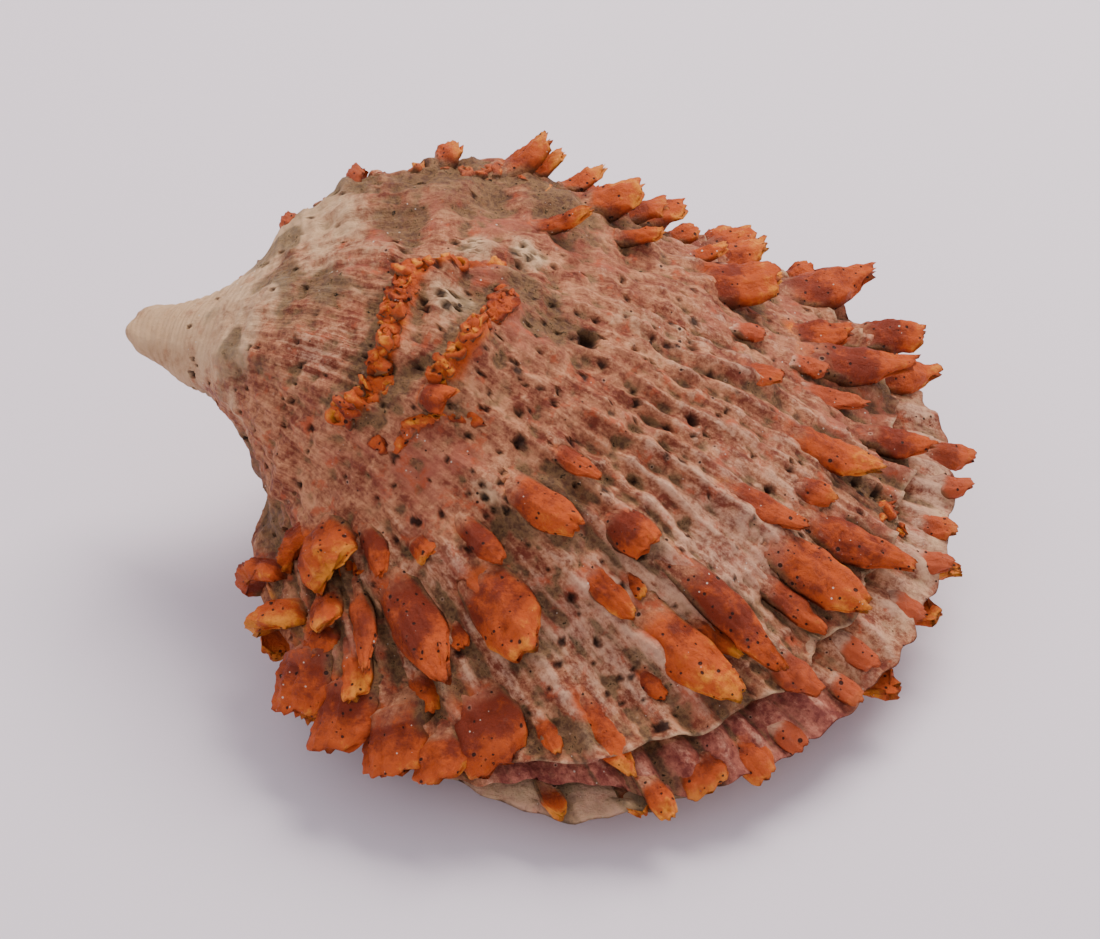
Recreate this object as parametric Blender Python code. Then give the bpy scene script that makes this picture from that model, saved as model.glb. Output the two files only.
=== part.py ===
"""A spiny oyster shell: two valves, closed, the deep beaked one on top of the flatter one.

Run it with blender --background --python part.py, or from Blender's text editor. Metres, +Z up.
The origin is under the middle of the shell, on the surface it stands on. The beak points to -X.

Each valve is a loft of growth rings. A ring is the shell's own margin at a younger age: smaller, and
turned about the hinge, so that the rings together roll out the dome. A point on a valve is given by
its angle round the margin, 0 opposite the hinge, and its growth, 0 at the beak and 1 at the margin.
"""

import math
import random

import bmesh
import bpy
import numpy as np
from mathutils import Euler, Vector

# Where the shell stands: the middle of the hinge line, and the tilt of the plane between the valves.
HINGE = (-0.0425, 0.0168, 0.0225)
YAW = math.radians(19)
PITCH = math.radians(10)
ROLL = math.radians(-0.5)

# The margin, seen square on.
LENGTH = 0.116
HALF_NEAR = 0.0655
HALF_FAR = 0.0645
EAR_ANGLE = math.radians(148)
EAR_WIDTH = math.radians(20)
EAR_SIZE = 0.10
# The margin is a little flatter towards the near right than an oval.
FLAT_ANGLE = math.radians(-28)
FLAT_WIDTH = math.radians(30)
FLAT_SIZE = 0.035

# How the upper valve grew: where its beak lies from the hinge, and how far the rings turned.
BEAK_BACK = -0.0306
BEAK_SIDE = -0.004
BEAK_RISE = 0.0145
BEAK_FADE = 3.0
UPPER_TURN = math.radians(138)
UPPER_TURN_FADE = 1.8
# The beak is slimmer than an even growth would leave it, and blunt at its tip.
SLIM_SHARE = 0.60
SLIM_GROWTH = 0.22
TIP_SIZE = 0.075
TIP_GROWTH = 0.02
TIP_FADE = 0.11

# Swellings of the upper valve: angle, growth, angular width and height of each.
SWELLINGS = (
    (math.radians(80), 0.44, math.radians(38), 0.0088),
    (math.radians(-155), 0.30, math.radians(24), 0.0042),
    (math.radians(-122), 0.76, math.radians(34), 0.0055),
    (math.radians(125), 0.76, math.radians(36), 0.0050),
)
SWELLING_GROWTH = 0.22
SWELLING_MARGIN = 0.12
# Near the margin the rings turn a little more, which makes its lip steeper.
EDGE_TURN = math.radians(20)
EDGE_FADE = 0.15

# The lower valve is flatter, with a low blunt beak.
LOWER_TURN = math.radians(-30)
LOWER_BACK = -0.010
LOWER_DROP = -0.018
LOWER_FADE = 2.0
LOWER_SCALE = 0.975
VALVE_GAP = 0.0006

# Ribs, and the ledge where an older margin overhangs the last growth.
RIBS = 20
RIB_HEIGHT = 0.0009
RIB_END = math.radians(135)
RIB_FADE = math.radians(20)
RIB_START = 0.3
LEDGE_GROWTH = 0.91
LEDGE_HEIGHT = 0.0022
LEDGE_LENGTH = 0.07
MARGIN_SHARE = 0.09

# Ridges along old margins, and hollows: angle, growth, angular width, growth width and height.
RIDGES = (
    (math.radians(-32), 0.42, math.radians(42), 0.020, 0.0026),
    (math.radians(-28), 0.485, math.radians(26), 0.016, 0.0020),
    (math.radians(-95), 0.60, math.radians(34), 0.030, 0.0016),
    (math.radians(5), 0.525, math.radians(13), 0.045, -0.0026),
    (math.radians(45), 0.47, math.radians(20), 0.040, -0.0014),
)

# The walls: how far the rim and the inside lie towards the middle, and the inside's growth rings.
RIM_SHARE = 0.93
WALL_SHARE = 0.87
INNER_GROWTHS = (0.92, 0.66)

# The loft's steps.
COLUMNS = 60
UPPER_GROWTHS = (
    0.012, 0.05, 0.10, 0.16, 0.23, 0.31, 0.38, 0.42, 0.455, 0.485, 0.53,
    0.60, 0.67, 0.75, 0.83, 0.905, 0.915, 1.0,
)
LOWER_GROWTHS = (0.04, 0.13, 0.25, 0.38, 0.52, 0.66, 0.79, 0.9, 1.0)

# Borings on the upper valve: angle, growth, width across and depth, in degrees and millimetres.
BORINGS = (
    (3, 0.550, 3.6, 2.2),
    (-38, 0.555, 2.4, 1.6),
    (-4, 0.660, 2.2, 1.4),
    (-62, 0.470, 2.2, 1.4),
    (28, 0.640, 2.0, 1.2),
)
# A boring's cutter stands proud of the shell by this many millimetres; its floor and its mouth are
# these shares of its width.
BORING_PROUD = 2.0
BORING_FLOOR = 0.6
BORING_MOUTH = 1.2
BORING_SIDES = 6

# Spines of the upper valve that keep their length: angle round the margin and lift off the shell in
# degrees, growth at the foot, and length and width in millimetres.
UPPER_SPINES = (
    (-90, 0.66, 17, 8.5, 16),
    (-72, 0.66, 13, 9.5, 18),
    (-57, 0.72, 8, 4.0, 18),
    (-67, 0.85, 11, 4.5, 16),
    (-51, 0.78, 15, 7.5, 20),
    (-37, 0.75, 18, 5.5, 18),
    (-20, 0.79, 17, 8.5, 18),
    (-2, 0.84, 17, 6.0, 18),
    (13, 0.77, 15, 6.0, 22),
    (41, 0.85, 15, 7.5, 26),
    (62, 0.86, 16, 8.0, 30),
    (54, 0.94, 9, 5.0, 28),
    (43, 0.93, 15, 6.5, 24),
    (29, 0.96, 8, 4.5, 20),
    (-104, 0.68, 14, 3.5, 20),
    (-12, 0.72, 11, 4.0, 14),
    (-28, 0.80, 11, 4.0, 18),
    (-86, 0.84, 12, 10.0, 22),
    (-109, 0.92, 11, 8.0, 30),
    (-99, 0.91, 10, 7.0, 24),
    (-122, 0.93, 13, 8.5, 34),
    (-134, 0.95, 9, 6.0, 24),
    (-113, 0.59, 9, 11.0, 30),
    (-124, 0.69, 7, 9.0, 30),
    (-78, 0.56, 8, 5.0, 34),
    (-57, 0.55, 11, 6.5, 34),
    (-43, 0.64, 7, 8.0, 42),
    (-86, 0.57, 5, 4.0, 30),
    (-45, 0.53, 4, 4.0, 30),
    (-68, 0.45, 5, 5.0, 30),
    (26, 0.87, 9, 7.5, 24),
    (-5, 0.76, 9, 7.5, 18),
    (50, 0.82, 10, 6.0, 26),
    (-25, 0.475, 6, 6.0, 34),
    (-50, 0.485, 5, 5.0, 40),
    (-8, 0.425, 5, 7.0, 30),
    (-62, 0.42, 5, 6.0, 30),
    (72, 0.50, 13, 10.0, 66),
    (74, 0.41, 5, 6.0, 50),
    (60, 0.58, 12, 7.0, 60),
    (69, 0.61, 9, 5.0, 56),
    (78, 0.66, 8, 5.0, 50),
    (50, 0.64, 7, 4.5, 40),
    (86, 0.84, 11, 8.0, 44),
    (58, 0.74, 11, 8.0, 50),
    (75, 0.84, 8, 5.0, 44),
    (70, 0.92, 11, 7.0, 34),
    (43, 0.51, 8, 3.5, 50),
    (70, 0.30, 4, 4.5, 50),
    (-40, 0.92, 6, 4.5, 20),
    (-73, 0.96, 5, 4.0, 16),
    (-27, 0.95, 6, 4.5, 18),
)

# Rows of spines where the shell is not seen: growth, first and last angle, step, length and width.
UPPER_ROWS = (
    (0.54, 92, 128, 18, 8, 6.5),
    (0.71, 88, 136, 16, 10, 7.0),
    (0.87, 100, 142, 14, 12, 7.5),
    (0.95, 92, 128, 18, 10, 6.5),
)
LOWER_ROWS = (
    (0.62, -110, 120, 38, 7, 6.0),
    (0.78, -124, 134, 24, 9, 6.5),
    (0.91, -132, 138, 18, 10, 7.5),
)
ROW_SEED = 4
# How far the spines of a row stray: in angle and growth, and between these shares and these lifts.
STRAY_ANGLE = 3
STRAY_GROWTH = 0.02
LENGTH_SHARES = (0.7, 1.2)
WIDTH_SHARES = (0.8, 1.2)
LIFTS = (24, 44)

# How a spine is rooted and how it narrows: share of its length, of its width, of its thickness.
SPINE_ROOT = 0.0022
SPINE_ROOT_BACK = 0.05
SPINE_STRAIGHTENING = 0.3
SPINE_THICKNESS = 0.40
LONG_SPINE = 0.0095
LONG_STATIONS = ((-0.10, 1.0, 1.1), (0.62, 0.88, 0.8), (1.0, 0.42, 0.35))
SHORT_STATIONS = ((-0.15, 1.0, 1.1), (0.55, 0.85, 0.8), (1.0, 0.5, 0.45))
# Cross sections of a long and a short spine, across and up: a roof over a shallow trough.
LONG_SECTION = ((-1.0, -0.5), (0.0, -0.1), (1.0, -0.5), (0.5, 0.7), (-0.5, 0.7))
SHORT_SECTION = ((-1.0, -0.4), (0.0, -0.1), (1.0, -0.4), (0.0, 0.8))

MILLIMETRE = 0.001
# The growth step that a slope is measured over, and the cutters' size, well past the shell.
SLOPE_STEP = 0.001
CUTTER = 0.4
TRIM_CLEARANCE = 0.0001

# Colours, from the photograph.
ROSE = (0.42, 0.21, 0.17)
GREY_ROSE = (0.36, 0.24, 0.20)


def clear_scene():
    for thing in list(bpy.data.objects):
        bpy.data.objects.remove(thing)


def shell_material(name, colour):
    """Chalky, worn calcite."""
    material = bpy.data.materials.new(name)
    material.use_nodes = True
    surface = material.node_tree.nodes["Principled BSDF"]
    surface.inputs["Base Color"].default_value = (*colour, 1.0)
    surface.inputs["Roughness"].default_value = 0.75
    surface.inputs["Metallic"].default_value = 0.0
    return material


def outline(angle):
    """The margin: an oval that meets the hinge line, with small ears, and flatter on one side."""
    forward, sideways = np.cos(angle), np.sin(angle)
    half = np.where(sideways > 0, HALF_FAR, HALF_NEAR)
    reach = 1 / np.sqrt((forward / (LENGTH / 2)) ** 2 + (sideways / half) ** 2)
    ears = np.exp(-(((np.abs(angle) - EAR_ANGLE) / EAR_WIDTH) ** 2))
    flat = np.exp(-(((angle - FLAT_ANGLE) / FLAT_WIDTH) ** 2))
    reach = reach * (1 + EAR_SIZE * ears - FLAT_SIZE * flat)
    return np.maximum(LENGTH / 2 + reach * forward, 0), reach * sideways


def stand(forward, sideways, up):
    """From the valve's own frame, with the hinge at its origin, to where the shell stands."""
    x = forward * math.cos(YAW) + sideways * math.sin(YAW)
    y = -forward * math.sin(YAW) + sideways * math.cos(YAW)
    y, z = y * math.cos(PITCH) - up * math.sin(PITCH), y * math.sin(PITCH) + up * math.cos(PITCH)
    x, z = x * math.cos(ROLL) + z * math.sin(ROLL), -x * math.sin(ROLL) + z * math.cos(ROLL)
    return np.stack([x + HINGE[0], y + HINGE[1], z + HINGE[2]], -1)


def turn_to(angle, middle):
    """How far an angle is from a middle one, the short way round."""
    return (angle - middle + math.pi) % (2 * math.pi) - math.pi


def upper_shell(angle, growth):
    """A point of the beaked valve."""
    forward, sideways = outline(angle)
    young = np.maximum(1 - growth, 0)
    turn = UPPER_TURN * young ** UPPER_TURN_FADE + EDGE_TURN * young * np.exp(-young / EDGE_FADE)
    size = growth * (1 - SLIM_SHARE * np.exp(-((growth / SLIM_GROWTH) ** 2)))
    size = size + TIP_SIZE * (1 - np.exp(-growth / TIP_GROWTH)) * np.exp(-((growth / TIP_FADE) ** 2))
    beak = young ** BEAK_FADE
    swelling = 0.0
    for middle, at, width, height in SWELLINGS:
        away = (turn_to(angle, middle) / width) ** 2 + ((growth - at) / SWELLING_GROWTH) ** 2
        swelling = swelling + height * np.exp(-away) * np.minimum(young / SWELLING_MARGIN, 1)
    out = BEAK_BACK * beak + size * forward * np.cos(turn)
    side = BEAK_SIDE * beak + size * sideways + swelling * np.sin(angle)
    up = BEAK_RISE * beak + size * forward * np.sin(turn) + swelling
    return stand(out, side, up + VALVE_GAP / 2)


def lower_shell(angle, growth):
    """A point of the flatter valve."""
    forward, sideways = outline(angle)
    young = np.maximum(1 - growth, 0)
    turn = LOWER_TURN * young
    size = LOWER_SCALE * growth
    beak = young ** LOWER_FADE
    out = LOWER_BACK * beak + size * forward * np.cos(turn)
    up = LOWER_DROP * beak + size * forward * np.sin(turn)
    return stand(out, size * sideways, up - VALVE_GAP / 2)


def outward(shell, angle, growth):
    """The unit normal, and the unit direction of growth, by small differences."""
    along = shell(angle, growth + SLOPE_STEP) - shell(angle, growth - SLOPE_STEP)
    across = shell(angle + SLOPE_STEP, growth) - shell(angle - SLOPE_STEP, growth)
    normal = np.cross(along, across)
    if shell is lower_shell:
        normal = -normal
    normal = normal / (np.linalg.norm(normal, axis=-1, keepdims=True) + 1e-12)
    along = along / (np.linalg.norm(along, axis=-1, keepdims=True) + 1e-12)
    return normal, along


def ribbed(angle):
    """1 where the valve has ribs, and 0 by the hinge."""
    return np.clip((RIB_END - np.abs(angle)) / RIB_FADE, 0, 1)


def ribs(angle, growth):
    return RIB_HEIGHT * np.cos(RIBS * angle) * ribbed(angle) * np.clip(growth / RIB_START, 0, 1)


def upper_relief(angle, growth):
    """Height over the smooth shell: ribs, the ledge, ridges and hollows, and none at the margin."""
    height = ribs(angle, growth)
    before = np.where(growth < LEDGE_GROWTH, LEDGE_GROWTH - growth, 1.0)
    height = height + LEDGE_HEIGHT * ribbed(angle) * np.exp(-before / LEDGE_LENGTH)
    for middle, at, width, length, rise in RIDGES:
        away = (turn_to(angle, middle) / width) ** 2 + ((growth - at) / length) ** 2
        height = height + rise * np.exp(-away)
    return height * np.clip((1 - growth) / MARGIN_SHARE, 0, 1)


def lower_relief(angle, growth):
    """The flatter valve has the ribs alone."""
    return ribs(angle, growth) * np.clip((1 - growth) / MARGIN_SHARE, 0, 1)


def mesh_object(name, points, faces, collection):
    """A closed mesh with its faces turned outwards."""
    mesh = bpy.data.meshes.new(name)
    mesh.from_pydata([tuple(point) for point in points], [], faces)
    shape = bmesh.new()
    shape.from_mesh(mesh)
    bmesh.ops.recalc_face_normals(shape, faces=shape.faces)
    shape.to_mesh(mesh)
    shape.free()
    thing = bpy.data.objects.new(name, mesh)
    collection.objects.link(thing)
    return thing


def loft(rings):
    """Points and faces of a closed loft through rings of points, with its two end rings filled."""
    count = len(rings[0])
    points = [point for ring in rings for point in ring]
    top = (len(rings) - 1) * count
    faces = [tuple(range(count)), tuple(range(top, top + count))]
    for row in range(len(rings) - 1):
        here, above = row * count, (row + 1) * count
        for column in range(count):
            beside = (column + 1) % count
            faces.append((here + column, here + beside, above + beside, above + column))
    return points, faces


def valve(name, shell, height, growths, middle, colour, collection):
    """One valve: rings outside from beak to margin, a flat rim, and rings back up inside."""
    angles = np.arange(COLUMNS) * 2 * math.pi / COLUMNS - math.pi
    rings = []
    for growth in growths:
        normal, _ = outward(shell, angles, min(growth, 1 - 1.1 * SLOPE_STEP))
        rings.append(shell(angles, growth) + normal * height(angles, growth)[:, None])
    rings.append(middle + RIM_SHARE * (shell(angles, 1.0) - middle))
    for growth in INNER_GROWTHS:
        rings.append(middle + WALL_SHARE * (shell(angles, growth) - middle))
    points, faces = loft(rings)
    thing = mesh_object(name, points, faces, collection)
    thing.data.materials.append(shell_material(name + " calcite", colour))
    return thing


def spine(name, shell, angle, growth, length, width, lift, collection):
    """One spine: a roof-shaped scoop, rooted in the shell, narrowing along its growth."""
    angle, lift = math.radians(angle), math.radians(lift)
    foot = shell(np.array([angle]), growth)[0]
    normal, along = outward(shell, np.array([angle]), growth)
    normal, along = normal[0], along[0]
    across = np.cross(along, normal)
    long = length > LONG_SPINE
    rings = []
    for share, wide, thick in LONG_STATIONS if long else SHORT_STATIONS:
        bend = lift * (1 - SPINE_STRAIGHTENING * share)
        reach = length * share
        middle = foot + along * reach * math.cos(bend) + normal * reach * math.sin(bend)
        if share < 0:
            middle = foot - along * length * SPINE_ROOT_BACK - normal * SPINE_ROOT
        rise = normal * math.cos(bend) - along * math.sin(bend)
        ring = []
        for side, up in LONG_SECTION if long else SHORT_SECTION:
            up = up * SPINE_THICKNESS * width * thick
            ring.append(middle + across * side * width / 2 * wide + rise * up)
        rings.append(np.array(ring))
    points, faces = loft(rings)
    return mesh_object(name, points, faces, collection)


def rows(spec, seed):
    """Spines of the unseen rows, each a little off the regular place, length and lift."""
    dice = random.Random(seed)
    found = []
    for growth, first, last, step, length, width in spec:
        for angle in range(first, last + 1, step):
            found.append((
                angle + dice.uniform(-STRAY_ANGLE, STRAY_ANGLE),
                growth + dice.uniform(-STRAY_GROWTH, STRAY_GROWTH),
                length * dice.uniform(*LENGTH_SHARES),
                width * dice.uniform(*WIDTH_SHARES),
                dice.uniform(*LIFTS),
            ))
    return found


def grow_spines(owner, shell, spines, collection):
    """All the spines of one valve, joined to it."""
    for number, (angle, growth, length, width, lift) in enumerate(spines):
        name = f"{owner.name} spine {number}"
        spine(name, shell, angle, growth, length * MILLIMETRE, width * MILLIMETRE, lift, collection)
    joined = owner.modifiers.new("spines", "BOOLEAN")
    joined.operation = "UNION"
    joined.operand_type = "COLLECTION"
    joined.collection = collection


def bore(shell, angle, growth, width, depth, collection):
    """A pit left by a boring animal: a blunt cone sunk in the shell, to be cut out."""
    angle = math.radians(angle)
    foot = shell(np.array([angle]), growth)[0]
    normal, _ = outward(shell, np.array([angle]), growth)
    deep = (depth + BORING_PROUD) * MILLIMETRE
    radius = width / 2 * MILLIMETRE
    bpy.ops.mesh.primitive_cone_add(
        vertices=BORING_SIDES, radius1=radius * BORING_FLOOR, radius2=radius * BORING_MOUTH, depth=deep)
    cone = bpy.context.active_object
    cone.name = f"boring at {math.degrees(angle):.0f}"
    cone.rotation_euler = Vector(normal[0]).to_track_quat("Z", "Y").to_euler()
    cone.location = Vector(foot) + Vector(normal[0]) * (BORING_PROUD * MILLIMETRE - deep / 2)
    move_to(cone, collection)


def cut_away(owner, cutter, label):
    cut = owner.modifiers.new(label, "BOOLEAN")
    cut.operation = "DIFFERENCE"
    cut.object = cutter


def half_space(name, collection, at, facing, tilt=(0, 0, 0)):
    """A large cube whose one face passes through a point; facing is +1 for a top face."""
    bpy.ops.mesh.primitive_cube_add(size=CUTTER, location=(0, 0, 0))
    cube = bpy.context.active_object
    cube.name = name
    move_to(cube, collection)
    turn = Euler(tilt).to_matrix()
    cube.rotation_euler = tilt
    cube.location = Vector(at) - turn @ Vector((0, 0, facing * CUTTER / 2))
    return cube


def move_to(thing, collection):
    for owner in list(thing.users_collection):
        owner.objects.unlink(thing)
    collection.objects.link(thing)


def new_collection(name):
    found = bpy.data.collections.new(name)
    bpy.context.scene.collection.children.link(found)
    return found


def main():
    clear_scene()
    shell_parts = new_collection("spiny oyster shell")
    upper_tools = new_collection("upper valve spines")
    lower_tools = new_collection("lower valve spines")
    borings = new_collection("borings")
    cutters = new_collection("cutters")

    upper_middle = stand(LENGTH / 2, 0, VALVE_GAP / 2)
    lower_middle = stand(LENGTH / 2 * LOWER_SCALE, 0, -VALVE_GAP / 2)
    upper = valve(
        "upper_valve", upper_shell, upper_relief, UPPER_GROWTHS, upper_middle, ROSE, shell_parts)
    lower = valve(
        "lower_valve", lower_shell, lower_relief, LOWER_GROWTHS, lower_middle, GREY_ROSE, shell_parts)

    for angle, growth, width, depth in BORINGS:
        bore(upper_shell, angle, growth, width, depth, borings)
    cut_out = upper.modifiers.new("borings", "BOOLEAN")
    cut_out.operation = "DIFFERENCE"
    cut_out.operand_type = "COLLECTION"
    cut_out.collection = borings
    grow_spines(upper, upper_shell, UPPER_SPINES + tuple(rows(UPPER_ROWS, ROW_SEED)), upper_tools)
    grow_spines(lower, lower_shell, rows(LOWER_ROWS, ROW_SEED + 1), lower_tools)

    # Nothing reaches through the plane between the valves, or below the surface the shell stands on.
    parting = (PITCH, ROLL, 0)
    below = half_space("below the upper valve", cutters, stand(0, 0, TRIM_CLEARANCE), 1, parting)
    above = half_space("above the lower valve", cutters, stand(0, 0, -TRIM_CLEARANCE), -1, parting)
    ground = half_space("ground", cutters, (0, 0, 0), 1)
    cut_away(upper, below, "trim")
    cut_away(lower, above, "trim")
    cut_away(lower, ground, "resting face")

    for collection in (upper_tools, lower_tools, borings, cutters):
        for thing in collection.objects:
            thing.hide_render = True
            thing.display_type = "WIRE"


main()
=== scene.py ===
# %% [markdown]
# # A spiny oyster shell
#
# A spiny oyster is a bivalve: two valves of calcite that meet along their margins and hinge at their
# beaks. This one lies closed on its flatter valve. The valve on top is deep, with a long cream beak,
# and its ribs carry worn orange spines.
#
# A shell could be sculpted, or scattered with copies of one spine. Here each valve is worked out from
# the way it grew, as rings of its own margin, because then ribs, growth lines, ledges and spines all
# follow the same two numbers: the angle round the margin and the growth from beak to margin.

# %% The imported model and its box
import math
import random

import bpy
import numpy as np
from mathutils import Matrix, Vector


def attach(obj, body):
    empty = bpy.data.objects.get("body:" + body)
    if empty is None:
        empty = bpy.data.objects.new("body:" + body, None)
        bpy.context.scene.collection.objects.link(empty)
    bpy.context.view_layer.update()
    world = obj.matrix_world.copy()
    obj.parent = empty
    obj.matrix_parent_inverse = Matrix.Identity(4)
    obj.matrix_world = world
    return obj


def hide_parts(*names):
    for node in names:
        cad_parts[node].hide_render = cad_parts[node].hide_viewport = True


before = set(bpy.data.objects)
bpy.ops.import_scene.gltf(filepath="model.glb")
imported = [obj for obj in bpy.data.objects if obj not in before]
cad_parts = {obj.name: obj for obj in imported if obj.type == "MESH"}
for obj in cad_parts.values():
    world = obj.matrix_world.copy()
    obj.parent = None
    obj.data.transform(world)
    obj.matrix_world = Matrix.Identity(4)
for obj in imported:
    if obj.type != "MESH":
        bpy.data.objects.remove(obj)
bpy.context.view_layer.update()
MM = 0.001

# %% [markdown]
# ## The form of a valve
#
# A bivalve adds shell only along its margin, so every growth line is the margin at a younger age:
# smaller, and turned about the hinge. Rolling the same outline through those sizes and turns makes the
# dome and its beak. The alternative, a sphere pushed into shape, would have no growth lines to follow.

# %% Where the shell stands, and its outline
HINGE = (-0.0425, 0.0168, 0.0225)
YAW = math.radians(19)
PITCH = math.radians(10)
ROLL = math.radians(-0.5)
LENGTH = 116 * MM
HALF_NEAR = 65.5 * MM
HALF_FAR = 64.5 * MM
EAR_ANGLE = math.radians(148)
EAR_WIDTH = math.radians(20)
EAR_SIZE = 0.10
FLAT_ANGLE = math.radians(-28)
FLAT_WIDTH = math.radians(30)
FLAT_SIZE = 0.035


def outline(angle):
    """The margin: an oval, reach = 1 / |direction / half axes|, with small ears, and flatter on one
    side. It is cut off straight along the hinge."""
    forward, sideways = np.cos(angle), np.sin(angle)
    half = np.where(sideways > 0, HALF_FAR, HALF_NEAR)
    reach = 1 / np.sqrt((forward / (LENGTH / 2)) ** 2 + (sideways / half) ** 2)
    ears = np.exp(-(((np.abs(angle) - EAR_ANGLE) / EAR_WIDTH) ** 2))
    flat = np.exp(-(((angle - FLAT_ANGLE) / FLAT_WIDTH) ** 2))
    reach = reach * (1 + EAR_SIZE * ears - FLAT_SIZE * flat)
    return np.maximum(LENGTH / 2 + reach * forward, 0), reach * sideways


def stand(forward, sideways, up):
    """Turns a point of the valve's own frame by yaw, pitch and roll, and moves it to the hinge."""
    x = forward * math.cos(YAW) + sideways * math.sin(YAW)
    y = -forward * math.sin(YAW) + sideways * math.cos(YAW)
    y, z = y * math.cos(PITCH) - up * math.sin(PITCH), y * math.sin(PITCH) + up * math.cos(PITCH)
    x, z = x * math.cos(ROLL) + z * math.sin(ROLL), -x * math.sin(ROLL) + z * math.cos(ROLL)
    return np.stack([x + HINGE[0], y + HINGE[1], z + HINGE[2]], -1)


def turn_to(angle, middle):
    """How far an angle is from a middle one, the short way round."""
    return (angle - middle + math.pi) % (2 * math.pi) - math.pi


# %% The deep valve on top
BEAK_BACK = -30.6 * MM
BEAK_SIDE = -4 * MM
BEAK_RISE = 14.5 * MM
BEAK_FADE = 3.0
UPPER_TURN = math.radians(138)
UPPER_TURN_FADE = 1.8
EDGE_TURN = math.radians(20)
EDGE_FADE = 0.15
SLIM_SHARE = 0.60
SLIM_GROWTH = 0.22
TIP_SIZE = 0.075
TIP_GROWTH = 0.02
TIP_FADE = 0.11
# Swellings: angle in degrees, growth, angular width in degrees and height in mm of each.
SWELLINGS = (
    (80, 0.44, 38, 8.8),
    (-155, 0.30, 24, 4.2),
    (-122, 0.76, 34, 5.5),
    (125, 0.76, 36, 5),
)
SWELLING_GROWTH = 0.22
SWELLING_MARGIN = 0.12
VALVE_GAP = 0.6 * MM


def upper_shell(angle, growth):
    """The ring at this growth: the outline times its size, turned up about the hinge, plus the beak's
    offset and the swellings, which are bell curves round their middles."""
    forward, sideways = outline(angle)
    young = np.maximum(1 - growth, 0)
    turn = UPPER_TURN * young ** UPPER_TURN_FADE + EDGE_TURN * young * np.exp(-young / EDGE_FADE)
    size = growth * (1 - SLIM_SHARE * np.exp(-((growth / SLIM_GROWTH) ** 2)))
    size = size + TIP_SIZE * (1 - np.exp(-growth / TIP_GROWTH)) * np.exp(-((growth / TIP_FADE) ** 2))
    beak = young ** BEAK_FADE
    swelling = 0.0
    for middle, at, width, height in SWELLINGS:
        across = turn_to(angle, math.radians(middle)) / math.radians(width)
        away = across ** 2 + ((growth - at) / SWELLING_GROWTH) ** 2
        swelling = swelling + height * MM * np.exp(-away) * np.minimum(young / SWELLING_MARGIN, 1)
    out = BEAK_BACK * beak + size * forward * np.cos(turn)
    side = BEAK_SIDE * beak + size * sideways + swelling * np.sin(angle)
    up = BEAK_RISE * beak + size * forward * np.sin(turn) + swelling
    return stand(out, side, up + VALVE_GAP / 2)


print("beak tip in mm:", np.round(upper_shell(0.0, 0.0) / MM, 1))

# %% The flatter valve below
LOWER_TURN = math.radians(-30)
LOWER_BACK = -10 * MM
LOWER_DROP = -18 * MM
LOWER_FADE = 2.0
LOWER_SCALE = 0.975
SLOPE_STEP = 0.001


def lower_shell(angle, growth):
    """The same outline, turned down about the hinge, with a low blunt beak of its own."""
    forward, sideways = outline(angle)
    young = np.maximum(1 - growth, 0)
    turn = LOWER_TURN * young
    size = LOWER_SCALE * growth
    beak = young ** LOWER_FADE
    out = LOWER_BACK * beak + size * forward * np.cos(turn)
    up = LOWER_DROP * beak + size * forward * np.sin(turn)
    return stand(out, size * sideways, up - VALVE_GAP / 2)


def outward(shell, angle, growth):
    """The unit normal and the unit direction of growth, from small differences of the surface."""
    along = shell(angle, growth + SLOPE_STEP) - shell(angle, growth - SLOPE_STEP)
    across = shell(angle + SLOPE_STEP, growth) - shell(angle - SLOPE_STEP, growth)
    normal = np.cross(along, across)
    if shell is lower_shell:
        normal = -normal
    normal = normal / (np.linalg.norm(normal, axis=-1, keepdims=True) + 1e-12)
    along = along / (np.linalg.norm(along, axis=-1, keepdims=True) + 1e-12)
    return normal, along


def pace(shell, angle, growth):
    """Metres of surface for one unit of growth, and for one radian round the margin."""
    along = shell(angle, growth + SLOPE_STEP) - shell(angle, growth - SLOPE_STEP)
    across = shell(angle + SLOPE_STEP, growth) - shell(angle - SLOPE_STEP, growth)
    return np.linalg.norm(along) / (2 * SLOPE_STEP), np.linalg.norm(across) / (2 * SLOPE_STEP)


# %% [markdown]
# ## Roughness that is the same every run
#
# An old shell is lumpy, bored and crusted at every scale. Displacing with a noise of our own keeps the
# shape in the mesh, where it can be exported. The noise is random values on a lattice, blended smoothly
# over each cell, and a few sizes of it are added up.

# %% Lattice noise
HASH_MASK = 0x7FFFFFFF


def lattice(x, y, z, seed):
    """One number from 0 to 1 for each whole-number point, by mixing the bits of its coordinates."""
    mixed = (x * 73856093) ^ (y * 19349663) ^ (z * 83492791) ^ (seed * 40503)
    mixed = ((mixed & HASH_MASK) * 1274126177) & HASH_MASK
    mixed = mixed ^ (mixed >> 15)
    mixed = (mixed * 48271) & HASH_MASK
    return (mixed ^ (mixed >> 13)) % 65521 / 65521


def noise(points, size, seed):
    """Values from -1 to 1: the lattice's, blended by 3t^2 - 2t^3 along each axis. size is a cell's."""
    scaled = points / size + 1000.0
    corner = np.floor(scaled).astype(np.int64)
    part = scaled - corner
    part = part * part * (3 - 2 * part)
    total = 0.0
    for dx in (0, 1):
        for dy in (0, 1):
            for dz in (0, 1):
                weight = np.abs(1 - dx - part[..., 0])
                weight = weight * np.abs(1 - dy - part[..., 1]) * np.abs(1 - dz - part[..., 2])
                value = lattice(corner[..., 0] + dx, corner[..., 1] + dy, corner[..., 2] + dz, seed)
                total = total + weight * value
    return total * 2 - 1


def layers(points, size, count, seed):
    """Noise at this size, and at half the size and half the height, count times."""
    total = 0.0
    for layer in range(count):
        total = total + noise(points, size / 2 ** layer, seed + 17 * layer) / 2 ** layer
    return total


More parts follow.
